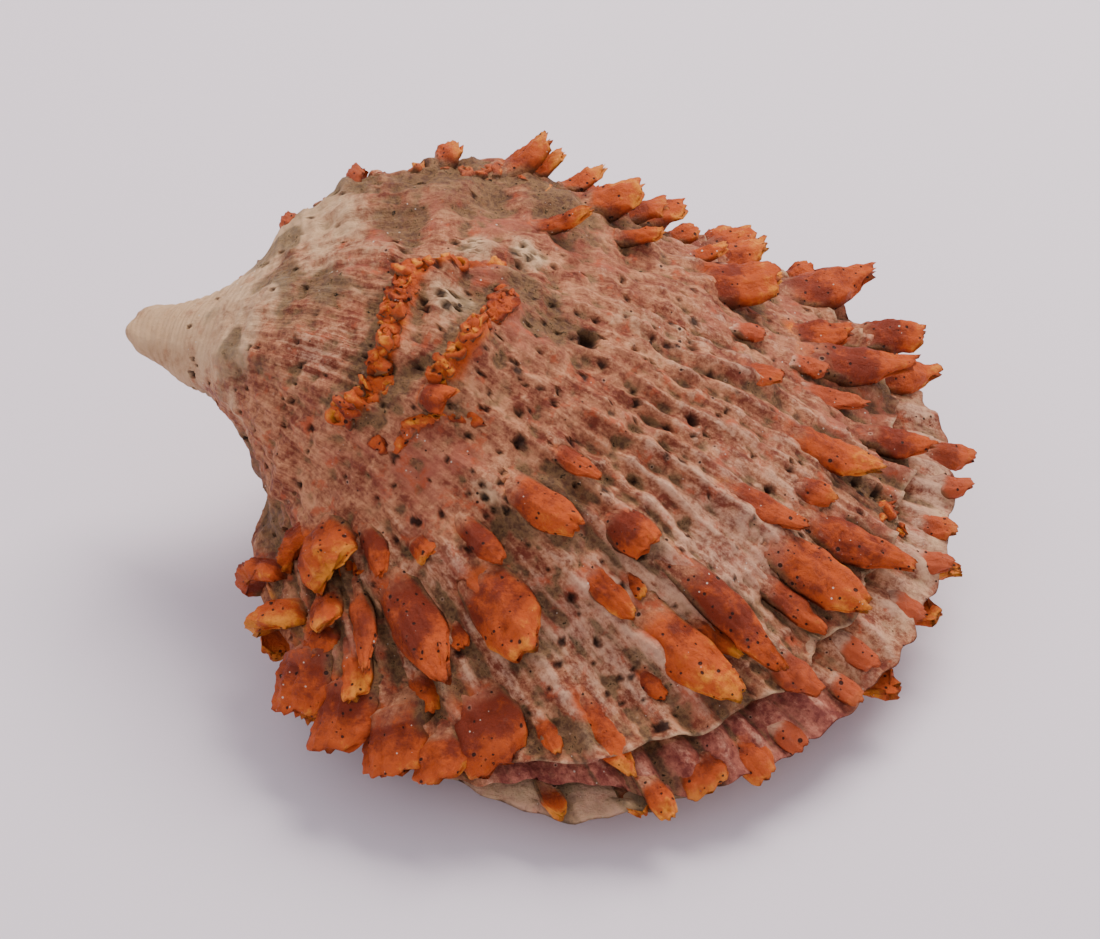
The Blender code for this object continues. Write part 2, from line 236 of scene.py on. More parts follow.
def step_up(value, start, end):
    """0 before start, 1 after end, and 3t^2 - 2t^3 between."""
    share = np.clip((value - start) / (end - start), 0, 1)
    return share * share * (3 - 2 * share)


def bell(value, middle, width):
    """1 at the middle, falling off as exp(-t^2), with t in widths from it."""
    return np.exp(-(((value - middle) / width) ** 2))


def unit_ring(angle):
    """The point at this angle on a circle of radius 1, where noise closes on itself."""
    return np.stack([np.cos(angle), np.sin(angle), 0 * angle], -1)


print("noise spread:", np.round(noise(np.random.RandomState(1).rand(5000, 3), 0.1, 3).std(), 2))

# %% [markdown]
# ## Where the spines grow
#
# A spine starts as a fold of the growing margin, so it is a gutter: arched on top, hollow below, open
# at its end and ragged where it has broken. Each one is placed by the angle and growth where it was
# formed. They are listed as they are seen, because worn spines follow no rule; those on the far side
# and underneath are rows with some chance in them.

# %% The spines of the deep valve
# Angle in degrees, growth at the foot, length and width in mm, lift in degrees.
# The last two are the arch of the gutter (0 flat, 1 half pipe) and how far its colour is worn pale.
UPPER_SPINES = (
    (-90, 0.645, 18, 8.5, 15, 0.45, 0.0),
    (-71, 0.655, 13, 10.0, 17, 0.35, 0.0),
    (-102, 0.67, 13, 4.0, 20, 0.5, 0.5),
    (-52, 0.695, 9, 4.5, 16, 0.5, 0.1),
    (-69, 0.835, 13, 5.5, 14, 0.5, 0.0),
    (-49, 0.775, 17, 8.5, 17, 0.45, 0.0),
    (-37, 0.76, 20, 6.0, 15, 0.5, 0.2),
    (-26, 0.82, 12, 4.2, 15, 0.5, 0.5),
    (-18, 0.805, 17, 8.5, 15, 0.4, 0.2),
    (-14, 0.725, 14, 5.5, 13, 0.5, 0.5),
    (-7, 0.82, 18, 7.0, 15, 0.45, 0.15),
    (10, 0.765, 14, 7.0, 19, 0.45, 0.0),
    (22, 0.86, 10, 6.0, 18, 0.5, 0.3),
    (27, 0.775, 11, 4.5, 16, 0.4, 0.7),
    (37, 0.80, 16, 8.5, 24, 0.45, 0.1),
    (44, 0.90, 14, 8.0, 22, 0.5, 0.1),
    (46, 0.79, 10, 7.0, 32, 0.5, 0.2),
    (66, 0.875, 17, 10.0, 30, 0.3, 0.4),
    (55, 0.95, 10, 8.0, 26, 0.5, 0.2),
    (28, 0.965, 8, 5.5, 18, 0.5, 0.6),
    (72, 0.775, 10, 7.5, 42, 0.5, 0.2),
    (80, 0.68, 10, 7.5, 48, 0.5, 0.1),
    (70, 0.62, 8, 6.0, 46, 0.5, 0.5),
    (82, 0.76, 6, 5.5, 40, 0.5, 0.5),
    (62, 0.565, 10, 8.0, 58, 0.8, 0.0),
    (75, 0.56, 8, 5.0, 56, 0.6, 0.4),
    (70, 0.60, 6, 3.5, 52, 0.6, 0.0),
    (50, 0.68, 11, 10.5, 34, 0.4, 0.0),
    (52, 0.585, 7, 3.5, 50, 0.6, 0.0),
    (45, 0.50, 9, 3.8, 46, 0.6, 0.2),
    (74, 0.49, 8, 8.5, 56, 0.4, 0.4),
    (76, 0.52, 6, 5.0, 56, 0.5, 0.4),
    (78, 0.42, 5, 9.0, 40, 0.4, 0.5),
    (75, 0.33, 4, 7.0, 30, 0.4, 0.9),
    (75, 0.26, 3.5, 6.5, 28, 0.4, 0.9),
    (-86, 0.82, 11.5, 11.5, 17, 0.4, 0.0),
    (-114, 0.56, 4.5, 11.0, 20, 0.45, 0.0),
    (-103, 0.555, 10, 12.0, 32, 0.4, 0.0),
    (-88, 0.555, 9, 4.5, 26, 0.9, 0.1),
    (-65, 0.59, 9, 4.5, 22, 0.9, 0.3),
    (-77, 0.58, 4, 4.5, 26, 0.7, 0.0),
    (-49, 0.59, 12, 6.5, 22, 0.9, 0.0),
    (-39, 0.665, 8, 7.0, 34, 0.9, 0.0),
    (-42, 0.475, 5, 5.0, 34, 0.9, 0.0),
    (-137, 0.80, 4, 12.0, 46, 0.6, 0.1),
    (-130, 0.84, 5, 12.0, 46, 0.6, 0.1),
    (-121, 0.88, 9.5, 13.0, 44, 0.7, 0.1),
    (-112, 0.88, 9, 13.0, 38, 0.6, 0.0),
    (-103, 0.885, 8, 12.5, 34, 0.5, 0.0),
    (-96, 0.90, 6, 10.0, 26, 0.5, 0.1),
)
# Stubs that stay within a few millimetres of the shell, as above.
STUBS = (
    (-57, 0.815, 5, 3.4, 16, 0.6, 0.1),
    (-77, 0.85, 5, 3.2, 16, 0.5, 0.1),
    (-83, 0.70, 4, 3.2, 20, 0.5, 0.1),
    (-42, 0.80, 8, 3.6, 14, 0.5, 0.2),
    (-47, 0.715, 4, 3.0, 22, 0.5, 0.3),
    (-34, 0.585, 8, 3.6, 12, 0.4, 0.5),
    (20, 0.69, 7, 5.0, 14, 0.3, 0.6),
    (33, 0.76, 6, 4.0, 22, 0.5, 0.8),
    (-2, 0.78, 6, 4.8, 16, 0.5, 0.5),
    (-37, 0.885, 8, 5.5, 10, 0.35, 0.6),
    (-24, 0.93, 6, 4.5, 12, 0.5, 0.8),
    (-31, 0.955, 5, 4.0, 12, 0.5, 0.8),
    (-44, 0.955, 5, 4.5, 12, 0.5, 0.8),
    (-51, 0.945, 7, 6.0, 10, 0.3, 0.5),
    (-58, 0.945, 5, 9.0, 7, 0.25, 0.5),
    (-67, 0.965, 6, 4.0, 14, 0.5, 0.2),
    (-10, 0.945, 6, 5.0, 12, 0.4, 0.9),
    (1, 0.955, 5, 4.5, 12, 0.4, 0.9),
    (10, 0.945, 6, 5.0, 14, 0.4, 0.7),
    (19, 0.965, 5, 4.5, 14, 0.5, 0.8),
    (-95, 0.79, 6, 4.4, 20, 0.5, 0.3),
    (-108, 0.80, 7, 5.5, 28, 0.5, 0.1),
    (-118, 0.80, 5, 8.0, 24, 0.6, 0.1),
    (-113, 0.70, 7, 6.0, 30, 0.5, 0.4),
    (64, 0.70, 6, 4.0, 46, 0.5, 0.3),
    (34, 0.69, 5, 4.0, 20, 0.4, 0.8),
    (60, 0.76, 7, 5.0, 40, 0.5, 0.3),
)

# %% The spines of the flatter valve that look out past the margin, and those that are not seen
LOWER_SEEN = (
    (-23, 0.93, 12, 8.0, 8, 0.6, 0.0),
    (-6, 0.94, 10, 7.0, 10, 0.6, 0.2),
    (4, 0.95, 10, 6.0, 12, 0.6, 0.1),
    (14, 0.95, 8, 5.0, 12, 0.6, 0.4),
    (-82, 0.99, 5, 3.5, 6, 0.5, 0.1),
    (-70, 0.985, 5, 4.0, 6, 0.5, 0.2),
)
# Growth, first and last angle and the step between in degrees, and length and width in mm.
UPPER_ROWS = (
    (0.54, 92, 128, 18, 8, 6.5),
    (0.71, 88, 136, 16, 10, 7.0),
    (0.87, 86, 142, 14, 8.5, 7.5),
    (0.95, 76, 128, 16, 6, 6.5),
)
LOWER_ROWS = (
    (0.62, -110, 120, 38, 6, 5.5),
    (0.76, -124, 134, 24, 7, 6.0),
    (0.91, -134, -110, 12, 9, 7.5),
    (0.91, 26, 138, 16, 10, 7.5),
)
ROW_SEED = 4
STRAY_ANGLE = 3
STRAY_GROWTH = 0.02
LENGTH_SHARES = (0.7, 1.2)
WIDTH_SHARES = (0.8, 1.2)
LIFTS = (24, 44)
ROW_ARCH = 0.5
ROW_PALE = 0.25


def rows(spec, seed):
    """Spines of the unseen rows, each a little off the regular place, length and lift."""
    dice = random.Random(seed)
    found = []
    for growth, first, last, step, length, width in spec:
        for angle in range(first, last + 1, step):
            found.append((
                angle + dice.uniform(-STRAY_ANGLE, STRAY_ANGLE),
                growth + dice.uniform(-STRAY_GROWTH, STRAY_GROWTH),
                length * dice.uniform(*LENGTH_SHARES),
                width * dice.uniform(*WIDTH_SHARES),
                dice.uniform(*LIFTS),
                ROW_ARCH,
                ROW_PALE,
            ))
    return tuple(found)


upper_far = rows(UPPER_ROWS, ROW_SEED)
lower_spines = LOWER_SEEN + rows(LOWER_ROWS, ROW_SEED + 1)
upper_near = UPPER_SPINES + STUBS
all_upper = upper_near + upper_far
print(len(upper_near), "spines in view,", len(upper_far), "behind,", len(lower_spines), "below")

# %% [markdown]
# ## Meshes from grids
#
# Every surface below is a grid of points, round and round and row by row, like a knitted sleeve. One
# function turns such sleeves into one closed mesh, together with the masks that the materials read.
# Faces are written as whole arrays, which takes no loop over vertices.

# %% From sleeves to a mesh
FLOW_ROUND = 30.0
FLOW_ALONG = 18.0


def flow(angle, growth):
    """A place for streaks to follow: cells run round the margin and are drawn out along the growth."""
    angle, growth = np.broadcast_arrays(angle, growth)
    return np.stack([FLOW_ROUND * np.cos(angle), FLOW_ROUND * np.sin(angle), FLOW_ALONG * growth], -1)


def enclosed(points, faces):
    """Volume inside the faces: the sum of corner . (side x side) / 6 over triangle fans."""
    total = 0.0
    for corner in range(1, faces.shape[1] - 1):
        a, b, c = points[faces[:, 0]], points[faces[:, corner]], points[faces[:, corner + 1]]
        total += np.einsum("ij,ij->i", a, np.cross(b, c)).sum() / 6
    return total


def sleeve_faces(grid):
    """Points and faces of grid[row, column]: quads round it, and a fan to the middle of each end."""
    height, width = grid.shape[:2]
    points = np.concatenate([grid.reshape(-1, 3), grid[:1].mean(1), grid[-1:].mean(1)])
    row, column = np.meshgrid(np.arange(height - 1), np.arange(width), indexing="ij")
    beside = (column + 1) % width
    quads = np.stack([
        row * width + column, row * width + beside,
        (row + 1) * width + beside, (row + 1) * width + column], -1).reshape(-1, 4)
    ring = np.arange(width)
    after = (ring + 1) % width
    last = (height - 1) * width
    first_fan = np.stack([np.full(width, height * width), after, ring], -1)
    last_fan = np.stack([last + ring, last + after, np.full(width, height * width + 1)], -1)
    fans = np.concatenate([first_fan, last_fan])
    if enclosed(points, quads) + enclosed(points, fans) < 0:
        quads, fans = quads[:, ::-1], fans[:, ::-1]
    return points, quads, fans


def with_ends(field):
    """A grid's values as a list, with the mean of its first and of its last row added."""
    flat = field.reshape(-1, *field.shape[2:])
    return np.concatenate([flat, field[:1].mean(1), field[-1:].mean(1)])


def closed_mesh(name, sleeves):
    """One object from sleeves, each a grid of points, its flow and its masks by name."""
    start = 0
    points, corners, sizes, flows = [], [], [], []
    masks = {label: [] for label in sleeves[0][2]}
    for grid, ways, fields in sleeves:
        places, quads, fans = sleeve_faces(grid)
        points.append(places)
        corners += [quads.ravel() + start, fans.ravel() + start]
        sizes += [np.full(len(quads), 4), np.full(len(fans), 3)]
        flows.append(with_ends(ways))
        for label in masks:
            masks[label].append(with_ends(np.broadcast_to(fields[label], grid.shape[:2])))
        start += len(places)
    points, corners, sizes = np.concatenate(points), np.concatenate(corners), np.concatenate(sizes)
    mesh = bpy.data.meshes.new(name)
    mesh.vertices.add(len(points))
    mesh.vertices.foreach_set("co", points.astype(np.float32).ravel())
    mesh.loops.add(len(corners))
    mesh.loops.foreach_set("vertex_index", corners.astype(np.int32))
    mesh.polygons.add(len(sizes))
    starts = np.concatenate([[0], np.cumsum(sizes)[:-1]])
    mesh.polygons.foreach_set("loop_start", starts.astype(np.int32))
    mesh.update(calc_edges=True)
    mesh.shade_smooth()
    vectors = mesh.attributes.new("flow", "FLOAT_VECTOR", "POINT")
    vectors.data.foreach_set("vector", np.concatenate(flows).astype(np.float32).ravel())
    for label, parts in masks.items():
        values = mesh.attributes.new(label, "FLOAT", "POINT")
        values.data.foreach_set("value", np.concatenate(parts).astype(np.float32))
    made = bpy.data.objects.new(name, mesh)
    bpy.context.scene.collection.objects.link(made)
    print(f"{name}: {len(sleeves)} closed surfaces, {int((sizes - 2).sum())} triangles")
    return made


# %% [markdown]
# ## The relief of the deep valve
#
# Up close the valve carries main ribs with finer ones between, growth lines that cross them like roof
# tiles, two crusted ridges where growth once stopped, borings of worms and sponges, and a swelling
# behind each spine where the rib climbs into it. All of these are heights over the smooth form.

# %% Ribs and growth lines
RIBS = 20
RIB_HEIGHT = 0.7 * MM
RIB_END = math.radians(135)
RIB_FADE = math.radians(20)
RIBLETS = 60
RIBLET_HEIGHT = 0.9 * MM
STRIAE = 170
STRIA_HEIGHT = 0.15 * MM
GROWTH_LINE = 0.028
GROWTH_LINE_HEIGHT = 0.5 * MM
BEAK_LINE = 0.018
BEAK_LINE_HEIGHT = 0.2 * MM
BROKEN_TIP = 0.8 * MM
BEAK_FILL = 1.5 * MM
BEAK_FILL_GROWTH = 0.13
BEAK_FILL_WIDTH = 0.055


def ribbed(angle):
    """1 where a valve has ribs, and 0 by the hinge."""
    return np.clip((RIB_END - np.abs(angle)) / RIB_FADE, 0, 1)


def ribs(angle, growth, points):
    """Cosines round the margin, sharpened to crests and bent a little by noise. The beak has none, and
    they are strongest near the margin."""
    strength = ribbed(angle) * step_up(growth, 0.20, 0.34) * (0.25 + 0.75 * step_up(growth, 0.5, 0.8))
    bent = angle + math.radians(3) * noise(points, 22 * MM, 5)
    bent = bent + math.radians(1.2) * noise(points, 7 * MM, 6)
    main = RIB_HEIGHT * (2 * ((1 + np.cos(RIBS * bent)) / 2) ** 1.5 - 1)
    fine = RIBLET_HEIGHT * (2 * ((1 + np.cos(RIBLETS * bent + 1.0)) / 2) ** 1.3 - 1)
    fine = fine * (0.6 + 0.8 * noise(points, 14 * MM, 7))
    finest = STRIA_HEIGHT * np.cos(STRIAE * bent)
    return strength * (main + fine + finest)


def growth_lines(angle, growth, points):
    """A saw tooth in growth: each line climbs as t^3 and drops at its edge, wavering with the ribs.
    The beak's lines are closer and round."""
    wavering = 0.45 * layers(points, 8 * MM, 2, 11) + 0.12 * np.cos(RIBS * angle)
    tooth = (growth / GROWTH_LINE + wavering) % 1.0
    strength = np.clip(0.45 + 0.9 * noise(points, 11 * MM, 12), 0, 1) * step_up(growth, 0.18, 0.30)
    lines = GROWTH_LINE_HEIGHT * (tooth ** 3 - 0.25) * strength
    lines = lines + BROKEN_TIP * layers(points, 3 * MM, 2, 15) * step_up(growth, 0.07, 0.02)
    rings = np.cos(2 * math.pi * (growth / BEAK_LINE + 0.5 * noise(points, 9 * MM, 13)))
    on_beak = (1 - step_up(growth, 0.18, 0.26)) * step_up(growth, 0.03, 0.09)
    return lines + BEAK_LINE_HEIGHT * (rings - 1) * on_beak * (0.7 + 0.5 * noise(points, 6 * MM, 14))


# %% Lumps, ridges and the ledge
LEDGE_GROWTH = 0.91
LEDGE_HEIGHT = 2.0 * MM
LEDGE_LENGTH = 0.07
LEDGE_CURL = 0.9 * MM
CURL_LENGTH = 0.014
GAPE_ANGLE = math.radians(-73)
GAPE_WIDTH = math.radians(8)
GAPE_HEIGHT = 2.2 * MM
RUFFLE = 0.010
# Ridges: angles in degrees, the growth at each of them, and the height.
RIDGES = (
    ((-64, -48, -33, -16, 3, 16), (0.420, 0.432, 0.420, 0.408, 0.405, 0.455), 4.4 * MM),
    ((-42, -30, -15, -6, 6), (0.476, 0.470, 0.472, 0.478, 0.480), 3.4 * MM),
)
RIDGE_END = 6
RIDGE_WANDER = 0.006
CLIFF = 0.008
BACK_SLOPE = 0.050
# Humps, and hollows with a height below zero: angle in degrees, growth, width in degrees, length in
# growth, and height in mm.
LUMPS = (
    (6, 0.515, 14, 0.035, -2.6),
    (39, 0.375, 13, 0.026, -2.0),
    (-62, 0.36, 24, 0.035, -1.4),
    (54, 0.47, 9, 0.030, -1.6),
    (27, 0.447, 9, 0.018, 2.2),
    (30, 0.485, 7, 0.014, 1.4),
    (52, 0.415, 8, 0.022, 1.8),
    (20, 0.35, 12, 0.020, 1.0),
    (72, 0.29, 26, 0.075, 2.6),
    (85, 0.20, 30, 0.050, 1.8),
)


def wear(points, worn, seed):
    """Lumps, and the coarse grain of a worn and crusted surface. worn is 0 on the smooth beak."""
    lumps = 1.0 * MM * layers(points, 15 * MM, 2, seed) * (0.3 + 0.7 * worn)
    knobs = 1.0 * MM * layers(points, 5 * MM, 3, seed + 3) * (0.15 + 0.85 * worn)
    sharp = 0.4 - np.abs(noise(points, 3.1 * MM, seed + 5))
    sharp = sharp - 0.5 * np.abs(noise(points, 1.6 * MM, seed + 6))
    return lumps + knobs + 0.8 * MM * sharp * worn


def ridge_place(angle, growth, points, ridge):
    """How far a point lies beyond a ridge's edge, in growth, and how high the ridge is there."""
    degrees = np.degrees(angle)
    along, growths, height = ridge
    beyond = growth - np.interp(degrees, along, growths) + RIDGE_WANDER * layers(points, 9 * MM, 2, 33)
    there = step_up(degrees, along[0] - RIDGE_END, along[0] + RIDGE_END)
    there = there * step_up(-degrees, -along[-1] - RIDGE_END, -along[-1] + RIDGE_END)
    return beyond, there * height


def ridges(angle, growth, points):
    """Each ridge is a small cliff that faces the beak, with a long slope behind, broken into knobs."""
    total = 0.0
    for ridge in RIDGES:
        beyond, height = ridge_place(angle, growth, points, ridge)
        length = np.where(beyond < 0, CLIFF, BACK_SLOPE)
        knobs = 1 + 0.5 * layers(points, 4.5 * MM, 2, 31)
        total = total + height * knobs * np.exp(-((beyond / length) ** 2))
    for middle, at, width, length, height in LUMPS:
        across = turn_to(angle, math.radians(middle)) / math.radians(width)
        total = total + height * MM * np.exp(-(across ** 2 + ((growth - at) / length) ** 2))
    return total


def ledge_at(angle):
    """The growth where the ledge ends: scalloped by the ribs, with bites out of it."""
    ring = unit_ring(angle)
    ragged = noise(ring, 0.11, 41) + 0.6 * noise(ring, 0.04, 42)
    return LEDGE_GROWTH + RUFFLE * (0.6 * np.cos(RIBS * angle) + 0.8 * ragged)


def ledge(angle, growth):
    """The skin climbs to the ledge, curls up at its ruffled edge, and gapes in one place. The ledge is
    highest on the near side."""
    before = np.maximum(ledge_at(angle) - growth, 0)
    share = 1 - 0.6 * step_up(angle, math.radians(-32), math.radians(-6))
    ring = unit_ring(angle)
    curl = 0.5 + 0.5 * np.cos(RIBLETS * angle) + noise(ring, 0.07, 43)
    gape = GAPE_HEIGHT * bell(turn_to(angle, GAPE_ANGLE), 0, GAPE_WIDTH) * np.exp(-before / 0.035)
    rise = LEDGE_HEIGHT * np.exp(-before / LEDGE_LENGTH) + LEDGE_CURL * curl * np.exp(-before / CURL_LENGTH)
    return ribbed(angle) * share * rise + gape


# %% [markdown]
# The rib under a spine swells before it lifts off. Dirt and painted shadow lie beside the spine and
# under it, and its orange spreads a little onto the rib. All three are worked out together, in widths
# and lengths of the spine from its foot.

# %% The skin near the spines
RIB_SWELL = 0.17


def around_spines(shell, angle, growth, spines):
    """Rise, orange, and dirt with painted shadow of the skin near each spine, as bell curves in widths
    and lengths.
    """
    rise, coral, dirt_and_shade = (np.zeros(growth.shape) for _ in range(3))
    for degrees, at, length, width, lift, arch, pale in spines:
        middle = math.radians(degrees)
        stretch, girth = pace(shell, middle, at)
        across = np.abs(turn_to(angle, middle)) * girth / (width * MM / 2)
        ahead = (growth - at) * stretch / (length * MM)
        swell = np.exp(-(across / 1.1) ** 4 - (ahead / np.where(ahead < 0, 0.9, 0.3)) ** 2)
        rise = np.maximum(rise, RIB_SWELL * width * MM * swell)
        coral = np.maximum(coral, (1 - 0.7 * pale) * np.exp(-across ** 2 - (ahead / 0.4) ** 2))
        # Dirt and painted shadow beside the spine and under it, ahead of its foot.
        beside = 0.6 * bell(across, 1.25, 0.45) * bell(ahead, 0.45, 0.5)
        under = 0.8 * np.exp(-across ** 2) * bell(ahead, 0.95, 0.35)
        dirt_and_shade = np.maximum(dirt_and_shade, np.maximum(beside, under) * min(width / 6, 1))
    return rise, coral, dirt_and_shade


# %% [markdown]
# Borings are small cups with a slightly raised rim, and painted shade inside. The large ones are those
# that are seen; the small ones are strewn, most of them where the shell is worn.

# %% Borings
# Angle in degrees, growth, and width and depth in mm.
BORINGS = (
    (3, 0.550, 4.0, 2.6),
    (-38, 0.555, 2.4, 1.6),
    (-4, 0.660, 2.2, 1.4),
    (-62, 0.470, 2.2, 1.4),
    (28, 0.640, 2.0, 1.2),
    (28, 0.475, 1.8, 1.4),
    (24, 0.480, 1.6, 1.4),
    (31, 0.440, 1.5, 1.2),
    (-10, 0.445, 1.9, 1.2),
    (-13, 0.432, 1.6, 1.0),
    (-6, 0.436, 1.5, 1.0),
    (-47, 0.590, 1.6, 1.2),
    (-50, 0.575, 1.4, 1.1),
    (-75, 0.645, 1.6, 1.2),
    (-60, 0.760, 1.6, 1.2),
    (7, 0.855, 1.9, 1.3),
    (9, 0.845, 1.7, 1.2),
    (8, 0.875, 1.8, 1.3),
    (6, 0.885, 1.6, 1.2),
    (-60, 0.885, 2.0, 1.4),
    (-58, 0.560, 1.1, 0.9),
    (-56, 0.572, 1.3, 1.0),
    (-57, 0.586, 1.1, 0.9),
    (-54, 0.562, 1.2, 1.0),
    (-53, 0.584, 1.0, 0.8),
    (-55, 0.594, 1.2, 0.9),
    (-51, 0.570, 1.1, 0.9),
    (27, 0.487, 1.3, 1.1),
    (30, 0.490, 1.5, 1.2),
    (32, 0.480, 1.2, 1.0),
    (29, 0.474, 1.1, 0.9),
    (-8, 0.450, 1.2, 1.0),
    (-3, 0.442, 1.4, 1.1),
)
SMALL_BORINGS = 360
BORING_SEED = 9


def small_borings(count, seed):
    """Scattered borings, crowded near the middle as on a shell that lay half buried."""
    dice = random.Random(seed)
    found = []
    while len(found) < count:
        degrees, at = dice.uniform(-135, 135), math.sqrt(dice.uniform(0.03, 1.0)) * 0.9
        crowd = math.exp(-((degrees + 10) / 70) ** 2) * math.exp(-((at - 0.56) / 0.20) ** 2)
        if dice.random() < 0.18 + 0.82 * crowd:
            width = 0.7 + 1.0 * dice.random() ** 2
            found.append((degrees, at, width, width * dice.uniform(0.45, 0.8)))
    return tuple(found)


def bore(points, borings, shell):
    """Cups of depth (1 - r^2)^0.6 round each boring's middle, with a low rim, and the painted shade in
    them.
    """
    drop = np.zeros(points.shape[:2])
    dark = np.zeros(points.shape[:2])
    for degrees, at, width, depth in borings:
        middle = shell(np.float64(math.radians(degrees)), np.float64(at))
        radius = width * MM / 2
        apart = points - middle
        near = np.abs(apart).max(-1) < radius * 2
        if not near.any():
            continue
        share = np.linalg.norm(apart[near], axis=-1) / radius
        cup = np.clip(1 - share ** 2, 0, 1) ** 0.6
        rim = bell(share, 1.2, 0.3) * 0.15
        drop[near] = np.where(cup > 0, -cup, rim) * depth * MM
        dark[near] = np.maximum(dark[near], step_up(share, 1.05, 0.75))
    return drop, dark


# %% [markdown]
# ## What colours the shell
#
# The ground colour is a rose brown. The beak is worn to cream, dirt and painted shade lie in what is
# deep, the spines and the crusted ridges are orange, and the last growth is purple below and pale at
# the side. Where each of these lies is a mask from 0 to 1, and the material breaks its edge up.

# %% Masks of the skin
# Patches: angle in degrees, growth, width in degrees, length in growth, and strength.
CREAM = (
    (29, 0.483, 7, 0.018, 1.0),
    (26, 0.447, 9, 0.020, 0.9),
    (-6, 0.443, 9, 0.020, 1.0),
    (-54, 0.575, 8, 0.026, 0.62),
    (28, 0.36, 30, 0.04, 0.45),
    (56, 0.34, 12, 0.04, 0.45),
    (18, 0.60, 12, 0.06, 0.4),
    (5, 0.97, 34, 0.025, 0.6),
)
# Darker patches: grime, and painted shade at the foot of the ridges' cliffs and on the hinge side, away
# from the light.
GRIME_AND_SHADE = (
    (10, 0.490, 11, 0.022, 1.0),
    (2, 0.525, 11, 0.028, 0.9),
    (39, 0.375, 12, 0.030, 1.0),
    (0, 0.335, 16, 0.018, 0.9),
    (8, 0.290, 10, 0.014, 0.8),
    (-43, 0.610, 6, 0.024, 1.1),
    (-56, 0.605, 4, 0.018, 0.8),
    (-45, 0.450, 14, 0.016, 0.9),
    (-36, 0.400, 24, 0.010, 0.9),
    (6, 0.890, 5, 0.030, 0.9),
    (-71, 0.870, 4, 0.022, 1.0),
    (56, 0.520, 12, 0.045, 0.9),
    (64, 0.42, 16, 0.07, 0.9),
    (74, 0.33, 16, 0.05, 0.8),
    (50, 0.43, 12, 0.045, 0.7),
    (-140, 0.55, 30, 0.25, 0.9),
    (-132, 0.36, 20, 0.10, 0.8),
)
PALE = (
    (-40, 0.76, 60, 0.14, 0.7),
    (20, 0.70, 25, 0.16, 0.35),
    (-85, 0.62, 25, 0.10, 0.5),
    (-40, 0.36, 22, 0.05, 0.6),
    (10, 0.96, 50, 0.06, 0.75),
)
# The crust on the ridges: its height, how far beyond the edge it lies and how wide it is, in growth.
CRUST_HEIGHT = 1.5 * MM
CRUST_BEYOND = 0.003
CRUST_BAND = 0.014
BLURS = 12


def patches(angle, growth, spots):
    """The strongest of some bell-shaped patches."""
    total = np.zeros(np.broadcast(angle, growth).shape)
    for middle, at, width, length, strength in spots:
        across = turn_to(angle, math.radians(middle)) / math.radians(width)
        total = np.maximum(total, strength * np.exp(-across ** 2 - ((growth - at) / length) ** 2))
    return total


def blurred(field, times):
    """The field with each value mixed with its four neighbours, this many times."""
    for _ in range(times):
        padded = np.concatenate([field[:1], field, field[-1:]])
        field = (padded[:-2] + padded[2:] + np.roll(field, 1, 1) + np.roll(field, -1, 1) + field) / 5
    return field


def ridge_crust(angle, growth, points):
    """Orange crust on the cliffs' edges, in lumps."""
    total = np.zeros(growth.shape)
    for ridge in RIDGES:
        beyond, height = ridge_place(angle, growth, points, ridge)
        total = np.maximum(total, height / ridge[2] * bell(beyond, CRUST_BEYOND, CRUST_BAND))
    return total * step_up(noise(points, 6 * MM, 62), -0.9, -0.15)


def upper_masks(angle, growth, points, heights, coral, dirt_and_shade, dark):
    """All the masks of the deep valve's skin. The beak's cream reaches further on its far side."""
    beak_end = growth + 0.06 * layers(points, 9 * MM, 3, 61) - 0.06 * np.sin(angle)
    beak = step_up(beak_end, 0.42, 0.18)
    smoothed = blurred(heights, BLURS)
    hollow = np.clip((smoothed - heights) / (0.7 * MM), 0, 1)
    crests = np.clip((heights - smoothed) / (0.6 * MM), 0, 1) * step_up(growth, 0.40, 0.65)
    new = step_up(growth, LEDGE_GROWTH - 0.01, LEDGE_GROWTH + 0.01)
    near_side = step_up(angle, math.radians(-100), math.radians(-80)) * step_up(
        angle, math.radians(-22), math.radians(-44))
    cream = np.maximum(beak, patches(angle, growth, CREAM))
    stains = 0.75 * bell(growth, 0.26, 0.10) * step_up(noise(points, 5 * MM, 65), 0.0, 0.45)
    # The grime mask: real grime and stains, and painted shade in the hollows, at the ridges' feet and
    # around the spines.
    grime_and_shade = patches(angle, growth, GRIME_AND_SHADE) + stains + 1.1 * hollow * (1 - 0.8 * beak) + dirt_and_shade
    return {
        "cream": cream,
        "grime_and_shade": np.clip(grime_and_shade, 0, 1),
        "orange": np.maximum(0.8 * coral, ridge_crust(angle, growth, points)),
        "purple": new * near_side,
        "pale": np.maximum(patches(angle, growth, PALE), 0.16 * step_up(growth, 0.3, 0.5)) + 0.34 * crests,
        "tip": 0.35 + 0.5 * noise(points, 5 * MM, 63),
        # Painted shade inside the borings.
        "hole": dark,
        "pits": np.clip(0.42 - 0.3 * beak + 0.3 * (cream - beak), 0, 1),
    }


# %% [markdown]
# ## The two layers of the deep valve
#
# The older part ends in a ledge: its ruffled edge overhangs the last, thinner growth. So the skin is
# made as two closed surfaces, as the shell itself is laid down in layers. The first runs from the beak
# to the ledge and folds under. The second is the whole valve a little deeper, and shows as the last
# growth, the rim and the inside.

# %% The older part, from the beak to the ledge
COLUMNS = 440
OLD_ROWS = 214
FIRST_GROWTH = 0.006
NEAR_SIDE = math.radians(-30)
CROWDING = 0.35


def angles(count):
    """Angles round a ring, closer together on the near side: t - c sin(t - near side)."""
    even = np.arange(count) * 2 * math.pi / count
    return turn_to(even - CROWDING * np.sin(even - NEAR_SIDE), 0)


